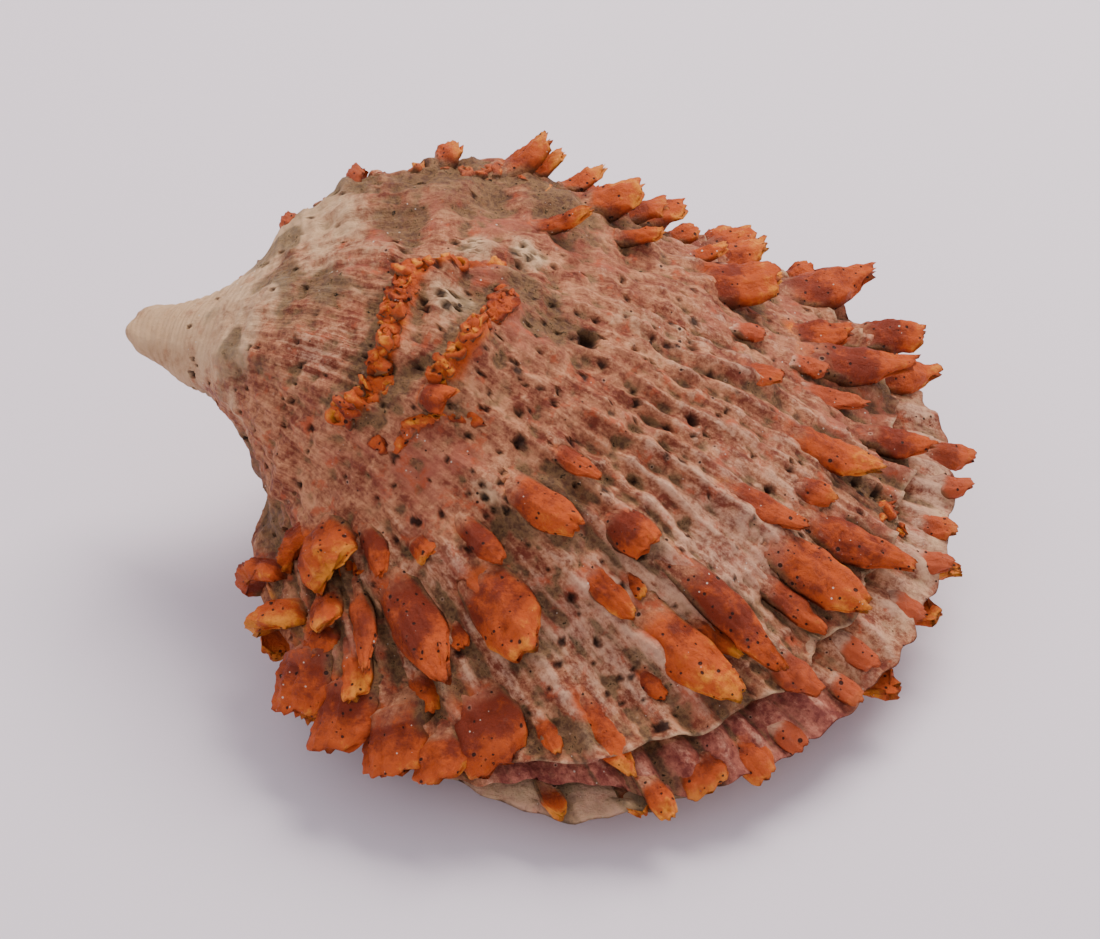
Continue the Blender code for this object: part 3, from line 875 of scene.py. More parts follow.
def upper_height(angle, growth, points):
    """All the relief of the deep valve, in metres over the smooth form."""
    worn = step_up(growth, 0.15, 0.34) * (1 - 0.4 * step_up(growth, 0.60, 0.78))
    height = ribs(angle, growth, points) + growth_lines(angle, growth, points)
    height = height + wear(points, worn, 51) + ledge(angle, growth)
    height = height + BEAK_FILL * bell(growth, BEAK_FILL_GROWTH, BEAK_FILL_WIDTH)
    crusted = ridge_crust(angle, growth, points) * (0.5 + 0.9 * layers(points, 2.4 * MM, 2, 64))
    height = height + CRUST_HEIGHT * crusted
    return height + ridges(angle, growth, points) * step_up(growth, 0.2, 0.3)


def last_height(angle, growth, points):
    """The relief of the last growth, in metres over the smooth form."""
    height = 1.15 * ribs(angle, growth, points) + 0.5 * growth_lines(angle, growth, points)
    return height + 0.5 * wear(points, 1.0, 71)


def skin_height(angle, growth, points):
    """The relief that shows: the older part's up to the ledge, and the last growth's beyond it."""
    old = upper_height(angle, growth, points)
    return np.where(growth < ledge_at(angle), old, last_height(angle, growth, points))


column_angles = angles(COLUMNS)
share = np.linspace(0, 1, OLD_ROWS)[:, None]
edge_growth = ledge_at(column_angles)[None, :]
old_growth = FIRST_GROWTH * (1 - share) + edge_growth * share
old_angle = np.broadcast_to(column_angles, old_growth.shape)
smooth_points = upper_shell(old_angle, old_growth)
normals, _ = outward(upper_shell, old_angle, old_growth)
rise, coral, dirt_and_shade = around_spines(upper_shell, old_angle, old_growth, all_upper)
heights = upper_height(old_angle, old_growth, smooth_points) + rise
pits = BORINGS + small_borings(SMALL_BORINGS, BORING_SEED)
drops, pit_dark = bore(smooth_points, pits, upper_shell)
old_skin = smooth_points + normals * (heights + drops)[..., None]
old_masks = upper_masks(old_angle, old_growth, smooth_points, heights, coral, dirt_and_shade, pit_dark)
print("relief from", round(heights.min() / MM, 1), "to", round(heights.max() / MM, 1), "mm")

# %% The fold under the ledge, and the finished piece
LIP_THICKNESS = 0.9 * MM
LIP_BACK = (0.003, 0.012, 0.026, 0.045)
UNDER_GROWTHS = (0.80, 0.60, 0.40, 0.20, 0.06)
UNDER_DEPTH = 4 * MM
PALE_EDGE_ROWS = 4


def with_rows(fields, extra):
    """Each mask with rows added that repeat its last row."""
    return {label: np.concatenate([mask] + [mask[-1:]] * extra) for label, mask in fields.items()}


def under_the_lip(back):
    """A row below the lip: the skin at this distance back from the edge, less the lip's thickness."""
    growth = edge_growth - back
    points = upper_shell(column_angles[None, :], growth)
    normal, _ = outward(upper_shell, column_angles[None, :], growth)
    height = ledge(column_angles[None, :], growth) - LIP_THICKNESS * (1 + back / 0.02)
    return points + normal * height[..., None]


turned = [old_skin, old_skin[-1:] - normals[-1:] * LIP_THICKNESS * 0.6]
turned += [under_the_lip(back) for back in LIP_BACK]
for under in UNDER_GROWTHS:
    inner = upper_shell(column_angles, under)[None, :]
    inner_normal, _ = outward(upper_shell, column_angles, np.float64(under))
    turned.append(inner - inner_normal[None, :] * UNDER_DEPTH * np.clip(under / 0.5, 0.2, 1))
turned = np.concatenate(turned)
extra_rows = len(turned) - len(old_skin)
old_flow = flow(old_angle, old_growth)
old_flow = np.concatenate([old_flow] + [old_flow[-1:]] * extra_rows)
edged = with_rows(old_masks, extra_rows)
# The edge itself is freshly broken and pale.
edge_band = step_up(np.arange(len(turned)), OLD_ROWS - PALE_EDGE_ROWS, OLD_ROWS)[:, None]
edge_band = edge_band * ribbed(column_angles) * np.clip(0.8 + 0.6 * noise(turned, 6 * MM, 64), 0, 1)
edged["cream"] = np.maximum(edged["cream"], edge_band)
edged["pale"] = np.maximum(edged["pale"], edge_band)
old_part = closed_mesh("upper_valve_old_part", [(turned, old_flow, edged)])

# %% [markdown]
# The margins of the two valves fit each other, so both follow one wave. The last growth is torn back
# a little on the near side, where the flatter valve looks out.

# %% Walls with a rim and an inside
NEW_START = 0.80
NEW_ROWS = 72
INSET = 1.8 * MM
MARGIN_SHARE = 0.09
RIM_SHARE = 0.93
WALL_SHARE = 0.87
RIM_ROWS = 4
INNER_GROWTHS = (0.97, 0.92, 0.86, 0.80, 0.73, 0.66, 0.50, 0.34)
WAVE = 0.5 * MM
WAVE_START = 0.92
TORN_ANGLE = math.radians(-80)
TORN_WIDTH = math.radians(12)
TORN_DEPTH = 0.050
FRAY = 0.012


def fray(angle):
    """How far the margin is worn back, in growth: small teeth between the riblets, and bites."""
    ring = unit_ring(angle)
    teeth = 0.5 + 0.5 * np.cos(RIBLETS * angle + 2 * noise(ring, 0.15, 45))
    bites = np.clip(noise(ring, 0.09, 46) + 0.3, 0, 1)
    return FRAY * ribbed(angle) * (0.5 * teeth + bites)


def margin_wave(angle, growth, inwards=1.0):
    """The two margins interlock: both follow this wave along the ribs, and lose it inwards."""
    strength = step_up(growth, WAVE_START, 1.0) * inwards
    ring = unit_ring(angle)
    lift = 0.6 * np.cos(RIBLETS * angle) + 0.6 * np.cos(RIBS * angle) + 1.2 * noise(ring, 0.16, 44)
    return strength * WAVE * ribbed(angle) * lift


def wall(shell, middle, growth, angle, relief):
    """Rows outside from the beak to the margin, then the rim, then the inside back to its middle."""
    spread = np.broadcast_to(angle, growth.shape)
    points = shell(spread, growth)
    normal, _ = outward(shell, spread, np.minimum(growth, 1 - 1.1 * SLOPE_STEP))
    outside = points + normal * relief[..., None]
    outside[..., 2] += margin_wave(spread, growth)
    grids, growths = [outside], [growth]
    margin = outside[-1:] - np.array([0, 0, 1]) * margin_wave(angle, growth[-1:])[..., None]
    for row in range(1, RIM_ROWS + 1):
        part = row / RIM_ROWS
        ring = middle + (1 - (1 - RIM_SHARE) * part) * (margin - middle)
        ring[..., 2] += margin_wave(angle, growth[-1:], 1 - part)
        grids.append(ring)
        growths.append(growth[-1:])
    for at in INNER_GROWTHS:
        share_in = WALL_SHARE + (RIM_SHARE - WALL_SHARE) * step_up(at, 0.90, 1.0)
        grids.append(middle + share_in * (shell(angle, at)[None, :] - middle))
        growths.append(np.full((1, len(angle)), at))
    return np.concatenate(grids), np.concatenate(growths)


# %% The last growth of the deep valve
BURIED_GROWTHS = (0.30, 0.45, 0.60, 0.72)
LATE_GROWTH = 0.89

buried = np.array(BURIED_GROWTHS)
last_edge = 1 - fray(column_angles) - TORN_DEPTH * bell(turn_to(column_angles, TORN_ANGLE), 0, TORN_WIDTH)
share = np.linspace(0, 1, NEW_ROWS)[:, None]
visible = NEW_START * (1 - share) + last_edge[None, :] * share
new_growth = np.concatenate([buried[:, None] * np.ones((1, COLUMNS)), visible])
new_angle = np.broadcast_to(column_angles, new_growth.shape)
new_points = upper_shell(new_angle, new_growth)
fade = np.clip((1 - new_growth) / MARGIN_SHARE, 0, 1)
late_spines = tuple(spine for spine in all_upper if spine[1] > LATE_GROWTH)
rise, coral, dirt_and_shade = around_spines(upper_shell, new_angle, new_growth, late_spines)
deep = -INSET * (1 + step_up(new_growth, 0.80, 0.60)) * step_up(new_growth, 0.95, 0.86)
shown = last_height(new_angle, new_growth, new_points) + rise
new_relief = deep + shown * step_up(new_growth, 0.78, 0.86) * (0.3 + 0.7 * fade)
upper_middle = stand(LENGTH / 2, 0, VALVE_GAP / 2)
new_grid, all_growth = wall(upper_shell, upper_middle, new_growth, column_angles, new_relief)
new_masks = upper_masks(new_angle, new_growth, new_points, new_relief, coral, 0.5 * dirt_and_shade, 0 * coral)
extra_rows = len(new_grid) - len(new_growth)
new_flow = flow(column_angles, all_growth)
new_part = closed_mesh("upper_valve_last_growth", [(new_grid, new_flow, with_rows(new_masks, extra_rows))])

# %% [markdown]
# ## Making one spine
#
# A spine is a closed sleeve too. Its middle line follows the shell up to the spine's foot and then
# lifts off in one smooth bend. Its cross section runs over the arched top and back along the hollow
# underside. It starts under the skin, so that it swells out of its rib without a joint, and its end is
# round on long spines and torn into lobes on wide ones.

# %% The gutter of a spine
SPINE_AROUND = 36
SPINE_ALONG = 32
SPINE_START = -0.75
BEND_LENGTH = 0.25
THINNEST = 0.8 * MM
FLUTE_HEIGHT = 0.035
TILE_HEIGHT = 0.03
NEAR_SEED = 200
FAR_SEED = 400
BELOW_SEED = 600


def soft_ramp(s):
    """0 far below s = 0 and s far above, with a smooth bend between: (s + sqrt(s^2 + b^2)) / 2."""
    return (s + np.sqrt(s ** 2 + BEND_LENGTH ** 2)) / 2


def spine_end(s, v, pointed, dice, seed):
    """s with the end drawn back: by a half circle towards the edges, by a wave that makes lobes, and by
    a noise that tears it."""
    strand = np.stack([v * 0.9, 0 * v + seed * 0.37, 0 * v], -1)
    torn = (0.10 - 0.04 * pointed) * noise(strand, 0.9, 90)
    lobes = (0.055 - 0.03 * pointed) * np.cos(dice.uniform(2.0, 3.4) * math.pi * v + dice.uniform(0, 6))
    rounding = (0.22 + 0.16 * pointed) * (1 - np.sqrt(1 - 0.96 * v ** 2))
    late = step_up(s, 0.25, 1.0)
    return s * (1 + (torn + lobes - rounding) * late)


def gutter(shell, relief, spine, seed):
    """Points of one spine, rows along it and columns round it, with its flow and masks. Across it v
    runs from -1 to 1, and the top is hump * (1 - |v|^2.2)^0.8; the underside is the top less the
    thickness. Its foot stands on the relief of the skin there."""
    degrees, at, length, width, lift, arch, pale = spine
    dice = random.Random(seed)
    length, width = length * MM, width * MM
    angle, slope = math.radians(degrees), math.radians(lift)
    pointed = min(max((length / width - 1.0) / 1.4, 0), 1)
    stretch, girth = pace(shell, angle, at)
    over = np.sin(np.linspace(-1, 1, SPINE_AROUND // 2) * math.pi / 2)
    v = np.concatenate([over, over[::-1]])[None, :]
    top = np.repeat([1.0, 0.0], SPINE_AROUND // 2)[None, :]
    s = np.linspace(SPINE_START, 1, SPINE_ALONG)[:, None]
    behind = np.maximum(at + np.minimum(s, 0) * length / stretch, 0.01)
    spread = np.full(s.shape, angle)
    base = shell(spread, behind)
    normal, along = outward(shell, spread, behind)
    across = np.cross(along, normal)
    level = relief(spread, behind, base)
    base = base + normal * ((level + level.mean()) / 2)[..., None]
    reach = spine_end(s, v, pointed, dice, seed)
    bend = slope * (1 + s / np.sqrt(s ** 2 + BEND_LENGTH ** 2)) / 2
    widths = (0.7, 0.96, 1.04, 1.02 - 0.12 * pointed, 0.9 - 0.35 * pointed)
    wide = np.interp(s, (SPINE_START, 0, 0.35, 0.75, 1), widths)
    thick = width * np.interp(s, (SPINE_START, -0.1, 0.35, 1), (0.5, 0.5, 0.36, 0.17)) * (1 - 0.45 * v ** 2)
    thick = np.maximum(thick, THINNEST)
    hump = width * (0.18 + 0.28 * arch) * step_up(s, SPINE_START, 0.1) * (1 - 0.25 * np.clip(s, 0, 1))
    sink = width * (0.06 + 0.26 * np.clip(-s / 0.75, 0, 1)) * (1 - step_up(s, 0.1, 0.6))
    free = step_up(s, -0.2, 0.4)
    flutes = FLUTE_HEIGHT * width * np.cos(dice.uniform(2.6, 4.2) * math.pi * v + dice.uniform(0, 6)) * free
    tiles = TILE_HEIGHT * width * ((reach * 4.5 + 0.4 * np.cos(4 * v)) % 1.0) ** 2 * free
    height = hump * (1 - np.abs(v) ** 2.2) ** 0.8 - sink + (flutes + tiles) * top * (1 - v ** 4)
    height = height - (1 - top) * thick
    curl = dice.uniform(-0.16, 0.16) * width * step_up(s, 0.5, 1) + 0 * v
    out = np.maximum(reach, 0) * length * np.cos(0.7 * bend) - height * np.sin(bend)
    up = length * math.sin(slope) * soft_ramp(reach) + height * np.cos(bend) + curl
    sway = dice.uniform(-0.13, 0.13) * length * np.clip(s, 0, 1) ** 2
    ripple = 1 + 0.06 * noise(np.stack([s * 4 + seed, 0 * s, 0 * s], -1), 1.0, 91)
    side = width / 2 * wide * ripple * v + sway
    points = base + along * out[..., None] + normal * up[..., None] + across * side[..., None]
    rough = 0.6 * MM * layers(points, 2.6 * MM, 3, 92) * (0.4 + 0.6 * top)
    points = points + normal * rough[..., None]
    ways = flow(angle + side / girth, behind + np.maximum(reach, 0) * length / stretch)
    edge = step_up(np.abs(v), 0.72, 1.0)
    # Painted shade on the underside, at the foot and on the edges near the foot; it goes to the grime mask.
    shade = 0.7 * edge * (1 - step_up(s, 0.1, 0.7)) + 0.35 * (1 - top) + 0.25 * (1 - step_up(s, -0.1, 0.3))
    tip = 0.7 * step_up(reach, 0.2, 1.0) + 0.25 * edge * step_up(s, 0.2, 0.7) + dice.uniform(-0.35, 0.2)
    masks = {
        "cream": 0 * reach,
        "grime_and_shade": shade,
        "orange": step_up(s, -0.45, 0.30) * (1 - 0.2 * pale) + 0 * v,
        "purple": 0 * reach,
        "pale": max(pale, 0.3) + 0 * reach,
        "tip": tip,
        "hole": 0 * reach,
        "pits": 0.8 + 0 * reach,
    }
    return points, ways, masks


near_spines = closed_mesh("upper_valve_spines", [
    gutter(upper_shell, skin_height, spine, NEAR_SEED + number) for number, spine in enumerate(upper_near)])
far_spines = closed_mesh("upper_valve_far_spines", [
    gutter(upper_shell, skin_height, spine, FAR_SEED + number) for number, spine in enumerate(upper_far)])

# %% [markdown]
# The crust along the two ridges and over the crest isn't drawn out into spines. It is a chain of
# rough knobs, each a small dome that is sunk in the skin, and some with a hollow on top.

# %% Chains of crust
# Angles in degrees, the growth at each, how many knobs, their radius in mm, and how orange they are.
CRUSTS = (
    ((-62, -48, -33, -16, 3), (0.420, 0.432, 0.420, 0.408, 0.405), 54, 1.15, 1.0),
    ((3, 16), (0.405, 0.455), 10, 1.1, 0.9),
    ((-42, -30, -15, -6, 6), (0.476, 0.470, 0.472, 0.478, 0.480), 30, 1.0, 1.0),
    ((-62, -50, -40), (0.47, 0.485, 0.515), 8, 1.3, 0.8),
    ((80, 66, 72), (0.37, 0.44, 0.48), 18, 1.6, 0.6),
    ((66, 60, 66), (0.50, 0.55, 0.60), 10, 1.6, 0.7),
    ((82, 76), (0.20, 0.36), 14, 1.3, 0.35),
    ((-122, -106, -90), (0.60, 0.61, 0.61), 14, 1.4, 0.9),
    ((4, 9, 4), (0.885, 0.90, 0.915), 8, 1.0, 0.8),
    ((-50, -44), (0.590, 0.625), 6, 1.1, 0.6),
)
KNOB_AROUND = 20
KNOB_ROWS = 14
KNOB_STRAY = 0.009
KNOB_LONG = (1.1, 1.8)
KNOB_SHORT = (0.7, 1.1)
KNOB_RISE = (0.5, 1.1)
KNOB_ROUGH = 0.5
HOLLOW_TOP = 0.35
CRUST_SEED = 5
STRAY_DEGREES = 1.5
SIZE_SHARES = (0.7, 1.35)


def knob(degrees, at, radius, orange, dice):
    """A dome with a round foot under the skin: out = r sin t, up = rise cos t, t from top to foot."""
    angle = np.full((1, 1), math.radians(degrees))
    growth = np.full((1, 1), at)
    base = upper_shell(angle, growth)
    normal, along = outward(upper_shell, angle, growth)
    across = np.cross(along, normal)
    base = base + normal * (skin_height(angle, growth, base) - 0.35 * radius)[..., None]
    turned_by = dice.uniform(0, math.pi)
    length, width = radius * dice.uniform(*KNOB_LONG), radius * dice.uniform(*KNOB_SHORT)
    t = np.linspace(0.04, 0.92, KNOB_ROWS)[:, None] * math.pi
    around = np.linspace(0, 2 * math.pi, KNOB_AROUND, endpoint=False)[None, :]
    first, second = length * np.sin(t) * np.cos(around), width * np.sin(t) * np.sin(around)
    forward = first * math.cos(turned_by) - second * math.sin(turned_by)
    sideways = first * math.sin(turned_by) + second * math.cos(turned_by)
    cup = 0.7 * np.exp(-((np.sin(t) / 0.45) ** 2)) * (t < math.pi / 2) * (dice.random() < HOLLOW_TOP)
    up = np.where(t < math.pi / 2, radius * dice.uniform(*KNOB_RISE), radius) * np.cos(t) - radius * cup
    up = up + 0 * around
    points = base + normal * up[..., None] + along * forward[..., None] + across * sideways[..., None]
    rough = KNOB_ROUGH * radius
    points = points + normal * (rough * layers(points, 1.1 * radius, 3, 95))[..., None]
    points = points + across * (rough * layers(points, 1.2 * radius, 2, 96))[..., None]
    points = points + along * (rough * layers(points, 1.2 * radius, 2, 97))[..., None]
    masks = {
        "cream": 0 * up,
        # Painted shade towards the foot, over a little grime, and the hollow on top painted dark as its
        # shade.
        "grime_and_shade": 0.22 + 0.6 * step_up(t, 0.9, 1.6) + 0 * around,
        "orange": orange * (1 - 0.5 * step_up(t, 1.1, 1.8)) + 0 * around,
        "purple": 0 * up,
        "pale": 0.3 + 0 * up,
        "tip": 0.6 * (1 - step_up(t, 0.2, 1.2)) + dice.uniform(-0.3, 0.45) + 0 * around,
        "hole": 0.9 * step_up(cup, 0.25, 0.6) + 0 * around,
        "pits": 0.8 + 0 * up,
    }
    return points, flow(angle, growth + 0 * up), masks


crust_dice = random.Random(CRUST_SEED)
knobs = []
for along, growths, count, radius, orange in CRUSTS:
    stops = range(len(along))
    for station in np.linspace(0, len(along) - 1, count):
        degrees = np.interp(station, stops, along) + crust_dice.uniform(-STRAY_DEGREES, STRAY_DEGREES)
        at = np.interp(station, stops, growths) + crust_dice.uniform(-KNOB_STRAY, KNOB_STRAY)
        size = radius * MM * crust_dice.uniform(*SIZE_SHARES)
        knobs.append(knob(degrees, at, size, orange, crust_dice))
crust = closed_mesh("upper_valve_crust", knobs)

# %% [markdown]
# ## The flatter valve
#
# It is grey rose where it shows, finely ribbed, and carries spines that stick out past the margin. It
# was cemented to a rock, and its flat scar is what the shell rests on.

# %% The lower valve's wall and spines
LOWER_ROWS_OUT = 130
SCAR_ROUGH = 0.12 * MM
OVERHANG = 0.045
LOWER_BLURS = 10


def lower_height(angle, growth, points):
    """The relief of the flatter valve, in metres over the smooth form."""
    height = 0.6 * ribs(angle, growth, points) + 0.7 * growth_lines(angle, growth, points)
    return height + 0.5 * wear(points, 1.0, 81)


def above_ground(sleeve):
    """A spine with whatever would reach below the floor pressed flat on it."""
    points, ways, masks = sleeve
    points[..., 2] = np.maximum(points[..., 2], SCAR_ROUGH)
    return points, ways, masks


rows_share = np.linspace(0, 1, LOWER_ROWS_OUT)[:, None]
lower_edge = 1 + OVERHANG * bell(turn_to(column_angles, TORN_ANGLE), 0, 1.4 * TORN_WIDTH)
lower_edge = lower_edge - fray(column_angles)
lower_growth = 0.02 * (1 - rows_share) + lower_edge[None, :] * rows_share
lower_angle = np.broadcast_to(column_angles, lower_growth.shape)
lower_points = lower_shell(lower_angle, lower_growth)
fade = np.clip((1 - lower_growth) / MARGIN_SHARE, 0, 1)
rise, coral, dirt_and_shade = around_spines(lower_shell, lower_angle, lower_growth, lower_spines)
lower_relief = (lower_height(lower_angle, lower_growth, lower_points) + rise) * (0.3 + 0.7 * fade)
lower_middle = stand(LENGTH / 2 * LOWER_SCALE, 0, -VALVE_GAP / 2)
lower_grid, all_growth = wall(lower_shell, lower_middle, lower_growth, column_angles, lower_relief)
scar = SCAR_ROUGH * (1 + noise(lower_grid, 3 * MM, 82))
lower_grid[..., 2] = np.maximum(lower_grid[..., 2], scar)
hollow = np.clip((blurred(lower_relief, LOWER_BLURS) - lower_relief) / (0.6 * MM), 0, 1)
late = step_up(lower_growth, 0.80, 0.95)
lower_masks = {
    "cream": 0.5 * late,
    # A little grime all over, with dirt and painted shade in the hollows and around the spines.
    "grime_and_shade": np.clip(0.40 + 0.6 * hollow + dirt_and_shade, 0, 1),
    "orange": 0.8 * coral,
    "purple": 0 * coral,
    "pale": 0.5 + 0.5 * late,
    "tip": 0.3 + 0 * coral,
    "hole": 0 * coral,
    "pits": 0.3 + 0 * coral,
}
extra_rows = len(lower_grid) - len(lower_growth)
lower_part = closed_mesh("lower_valve_wall", [
    (lower_grid, flow(column_angles, all_growth), with_rows(lower_masks, extra_rows))])
below_spines = closed_mesh("lower_valve_spines", [
    above_ground(gutter(lower_shell, lower_height, spine, BELOW_SEED + number))
    for number, spine in enumerate(lower_spines)])

# %% [markdown]
# ## Weathered calcite
#
# Calcite shell is chalky when worn: a matte surface with only a dull gloss on spines that have been
# rubbed. The colours are laid in the order in which the shell got them: the grown colour and its
# streaks, the worn cream, the orange of spines and crust, then dirt with painted shade in it, and last
# the pits, painted dark as their shade, and specks of animals that bored it. One painted picture would
# not follow the relief; noise and masks do.

# %% Colour and node helpers
def colour(hex_value):
    """sRGB hex to the linear values that a shader wants."""
    parts = [int(hex_value[place:place + 2], 16) / 255 for place in (1, 3, 5)]
    linear = [part / 12.92 if part <= 0.04045 else ((part + 0.055) / 1.055) ** 2.4 for part in parts]
    return (*linear, 1.0)


def empty_material(name):
    """A material with no nodes yet."""
    material = bpy.data.materials.new(name)
    material.use_nodes = True
    material.node_tree.nodes.clear()
    return material


def node(tree, kind, links=None, **settings):
    """Adds one node: settings by name, and inputs by name or number, each a value or a socket."""
    made = tree.nodes.new(kind)
    for name, value in settings.items():
        setattr(made, name, value)
    for socket, source in (links or {}).items():
        if isinstance(source, bpy.types.NodeSocket):
            tree.links.new(source, made.inputs[socket])
        else:
            made.inputs[socket].default_value = source
    return made


# %% [markdown]
# Three recipes make the whole finish. A weighted sum mixes grains. A step turns such a sum into a share
# from 0 to 1. Coats lay one colour after another over a base, each by its share.

# %% Sums, steps and coats
def weighted(tree, parts, plus=0.0):
    """A constant, and then each value times its share added to it, one after another."""
    for value, times in parts:
        plus = node(tree, "ShaderNodeMath", {0: value, 1: times, 2: plus},
                    operation="MULTIPLY_ADD").outputs[0]
    return plus


def stepped(tree, low, high, parts, plus=0.0, start=0.0, end=1.0):
    """A weighted sum, stepped: start where it is below low, end above high, 3t^2 - 2t^3 between."""
    return node(tree, "ShaderNodeMapRange", {
        "Value": weighted(tree, parts, plus), "From Min": low, "From Max": high,
        "To Min": start, "To Max": end}, interpolation_type="SMOOTHSTEP").outputs["Result"]


def painted(tree, base, coats):
    """The base with coats laid over it in order, each a share and a colour: a hex value or a socket."""
    base = colour(base) if isinstance(base, str) else base
    for share, coat in coats:
        coat = colour(coat) if isinstance(coat, str) else coat
        base = node(tree, "ShaderNodeMix", {0: share, 6: base, 7: coat}, data_type="RGBA").outputs[2]
    return base


# %% [markdown]
# Grains of six sizes stand for the mottling, from clouds of a centimetre down to crumbs of a
# millimetre. Streaks and threads follow the flow, so they run from the beak to the margin as the shell
# grew. The masks in the mesh say where each coat lies, and a grain breaks up its edge.

# %% What the finish reads
# Grains: what each follows, its size, detail and roughness. A unit of the flow is about 2 mm round the
# margin and 6 mm along the growth.
GRAINS = {
    "streaks": ("flow", 1.0, 5.0, 0.65),
    "threads": ("flow", 0.33, 3.0, 0.6),
    "clouds": ("place", 13 * MM, 6.0, 0.62),
    "blotches": ("place", 5 * MM, 8.0, 0.72),
    "flecks": ("place", 3.2 * MM, 5.0, 0.6),
    "crumbs": ("place", 1.1 * MM, 6.0, 0.75),
}
MASKS = ("cream", "grime_and_shade", "orange", "purple", "pale", "tip", "hole", "pits")
# Coats: the mask, the grain that breaks up its edge and by how much, and the sums at which the coat
# begins and is full.
EDGES = {
    "purple": ("purple", "blotches", 0.7, 0.3, 0.7),
    "streak": ("pale", "streaked", 2.6, 0.35, 1.0),
    "cream": ("cream", "blotches", 2.2, 0.22, 1.0),
    "worn": ("pale", "blotches", 0.9, 0.25, 1.05),
    "orange": ("orange", "blotches", 1.3, 0.25, 0.80),
    # The dirt and black coats follow the grime mask, which also holds painted shade.
    "dirt_and_shade": ("grime_and_shade", "blotches", 1.1, 0.28, 0.92),
    "black": ("grime_and_shade", "clouds", 0.9, 0.45, 0.9),
}


def sources(tree):
    """Sockets by name: the place on the shell, the flow, the masks and the grains."""
    found = {
        "place": node(tree, "ShaderNodeTexCoord").outputs["Object"],
        "flow": node(tree, "ShaderNodeAttribute", attribute_name="flow").outputs["Vector"],
    }
    for label in MASKS:
        found[label] = node(tree, "ShaderNodeAttribute", attribute_name=label).outputs["Fac"]
    for label, (follows, size, detail, rough) in GRAINS.items():
        found[label] = node(tree, "ShaderNodeTexNoise", {
            "Vector": found[follows], "Scale": 1 / size, "Detail": detail,
            "Roughness": rough}).outputs["Fac"]
    found["streaked"] = weighted(tree, [(found["crumbs"], 0.5), (found["streaks"], 0.5)])
    return found


def coat_share(tree, at, coat):
    """A coat's mask with its edge broken up: mask + spread * (grain - 0.5), stepped."""
    mask, grain, spread, none, full = EDGES[coat]
    return stepped(tree, none, full, [(at[mask], 1.0), (at[grain], spread)], -spread / 2)


print(len(GRAINS), "grains,", len(MASKS), "masks and", len(EDGES), "coats with broken edges")

# %% [markdown]
# A shell lays its colour down with each growth line, so the ground is mottled across and streaked
# along the ribs. The spines are orange all through: dull where dirt and painted shade lie on them,
# bright where a tip has been rubbed, and coral where they are worn.

# %% The grown colour and the orange
ROSE_DARK = "#793522"
ROSE_LIGHT = "#D69369"
ROSE_PINK = "#B7664E"
STREAK = "#E2B799"
PURPLE = "#7C362E"
PURPLE_LIGHT = "#CC7C64"
ORANGE_DEEP = "#7C2A10"
ORANGE = "#C4521A"
ORANGE_BRIGHT = "#F0942E"
CORAL = "#BA5430"


def grown_colour(tree, at):
    """Mottled rose brown, with pink clouds, coral flecks and a purple last growth, under pale streaks."""
    tone = stepped(tree, 0.88, 1.30, [(at["crumbs"], 0.7), (at["blotches"], 0.9), (at["streaks"], 0.55)])
    return painted(tree, ROSE_DARK, [
        (tone, ROSE_LIGHT),
        (stepped(tree, 0.50, 0.66, [(at["clouds"], 1.0)], end=0.7), ROSE_PINK),
        (stepped(tree, 0.56, 0.67, [(at["flecks"], 1.0)], end=0.75), CORAL),
        (coat_share(tree, at, "purple"), painted(tree, PURPLE, [(tone, PURPLE_LIGHT)])),
        (weighted(tree, [(coat_share(tree, at, "streak"), 0.62)]), STREAK),
    ])


def orange_colour(tree, at):
    """Deep to bright orange, brightest at the tip of a spine, and worn to coral in places."""
    warm = weighted(tree, [(at["tip"], 0.75), (at["crumbs"], 0.6), (at["blotches"], 2.2)], -1.25)
    return painted(tree, ORANGE_DEEP, [
        (stepped(tree, -0.1, 0.5, [(warm, 1.0)]), ORANGE),
        (stepped(tree, 0.5, 1.0, [(warm, 1.0)]), ORANGE_BRIGHT),
        (coat_share(tree, at, "worn"), CORAL),
    ])


print("rose brown in linear values:", [round(part, 3) for part in colour(ROSE_DARK)[:3]])

# %% [markdown]
# Pin holes come from cells strewn in space: a hole is where the distance to a cell's middle is less
# than that cell's own radius, and a pale rim lies just outside it. Cells that draw a low number have
# no hole, and a mask says how many draw high. A hole is painted near black, as the shade inside it.

# %% Pin holes, specks and dirt
LARGE_CELL = 2.6 * MM
LARGE_RADIUS = 0.17
SMALL_CELL = 1.4 * MM
SMALL_RADIUS = 0.21
SPECK_CELL = 1.7 * MM
# Colours of the dirt coats, which also paint shade in hollows, around spines and at the ridges' feet.
DIRT_AND_SHADE = "#4A3C2A"
DIRT_AND_SHADE_LIGHT = "#7F6540"
DIRT_AND_SHADE_BLACK = "#1A170F"


def pin_holes(tree, at, size, largest):
    """Hole and rim, 0 to 1, from cells of this size. largest is a radius in cells."""
    cells = node(tree, "ShaderNodeTexVoronoi", {"Vector": at["place"], "Scale": 1 / size})
    draw = node(tree, "ShaderNodeSeparateColor", {"Color": cells.outputs["Color"]}).outputs[0]
    radius = node(tree, "ShaderNodeMapRange", {
        "Value": weighted(tree, [(draw, 1.0)], at["pits"]), "From Min": 1.0, "From Max": 1.5,
        "To Min": -0.1, "To Max": largest}).outputs[0]
    inside = weighted(tree, [(cells.outputs["Distance"], -1.0)], radius)
    return stepped(tree, 0.0, 0.05, [(inside, 1.0)]), stepped(tree, -0.09, -0.02, [(inside, 1.0)])


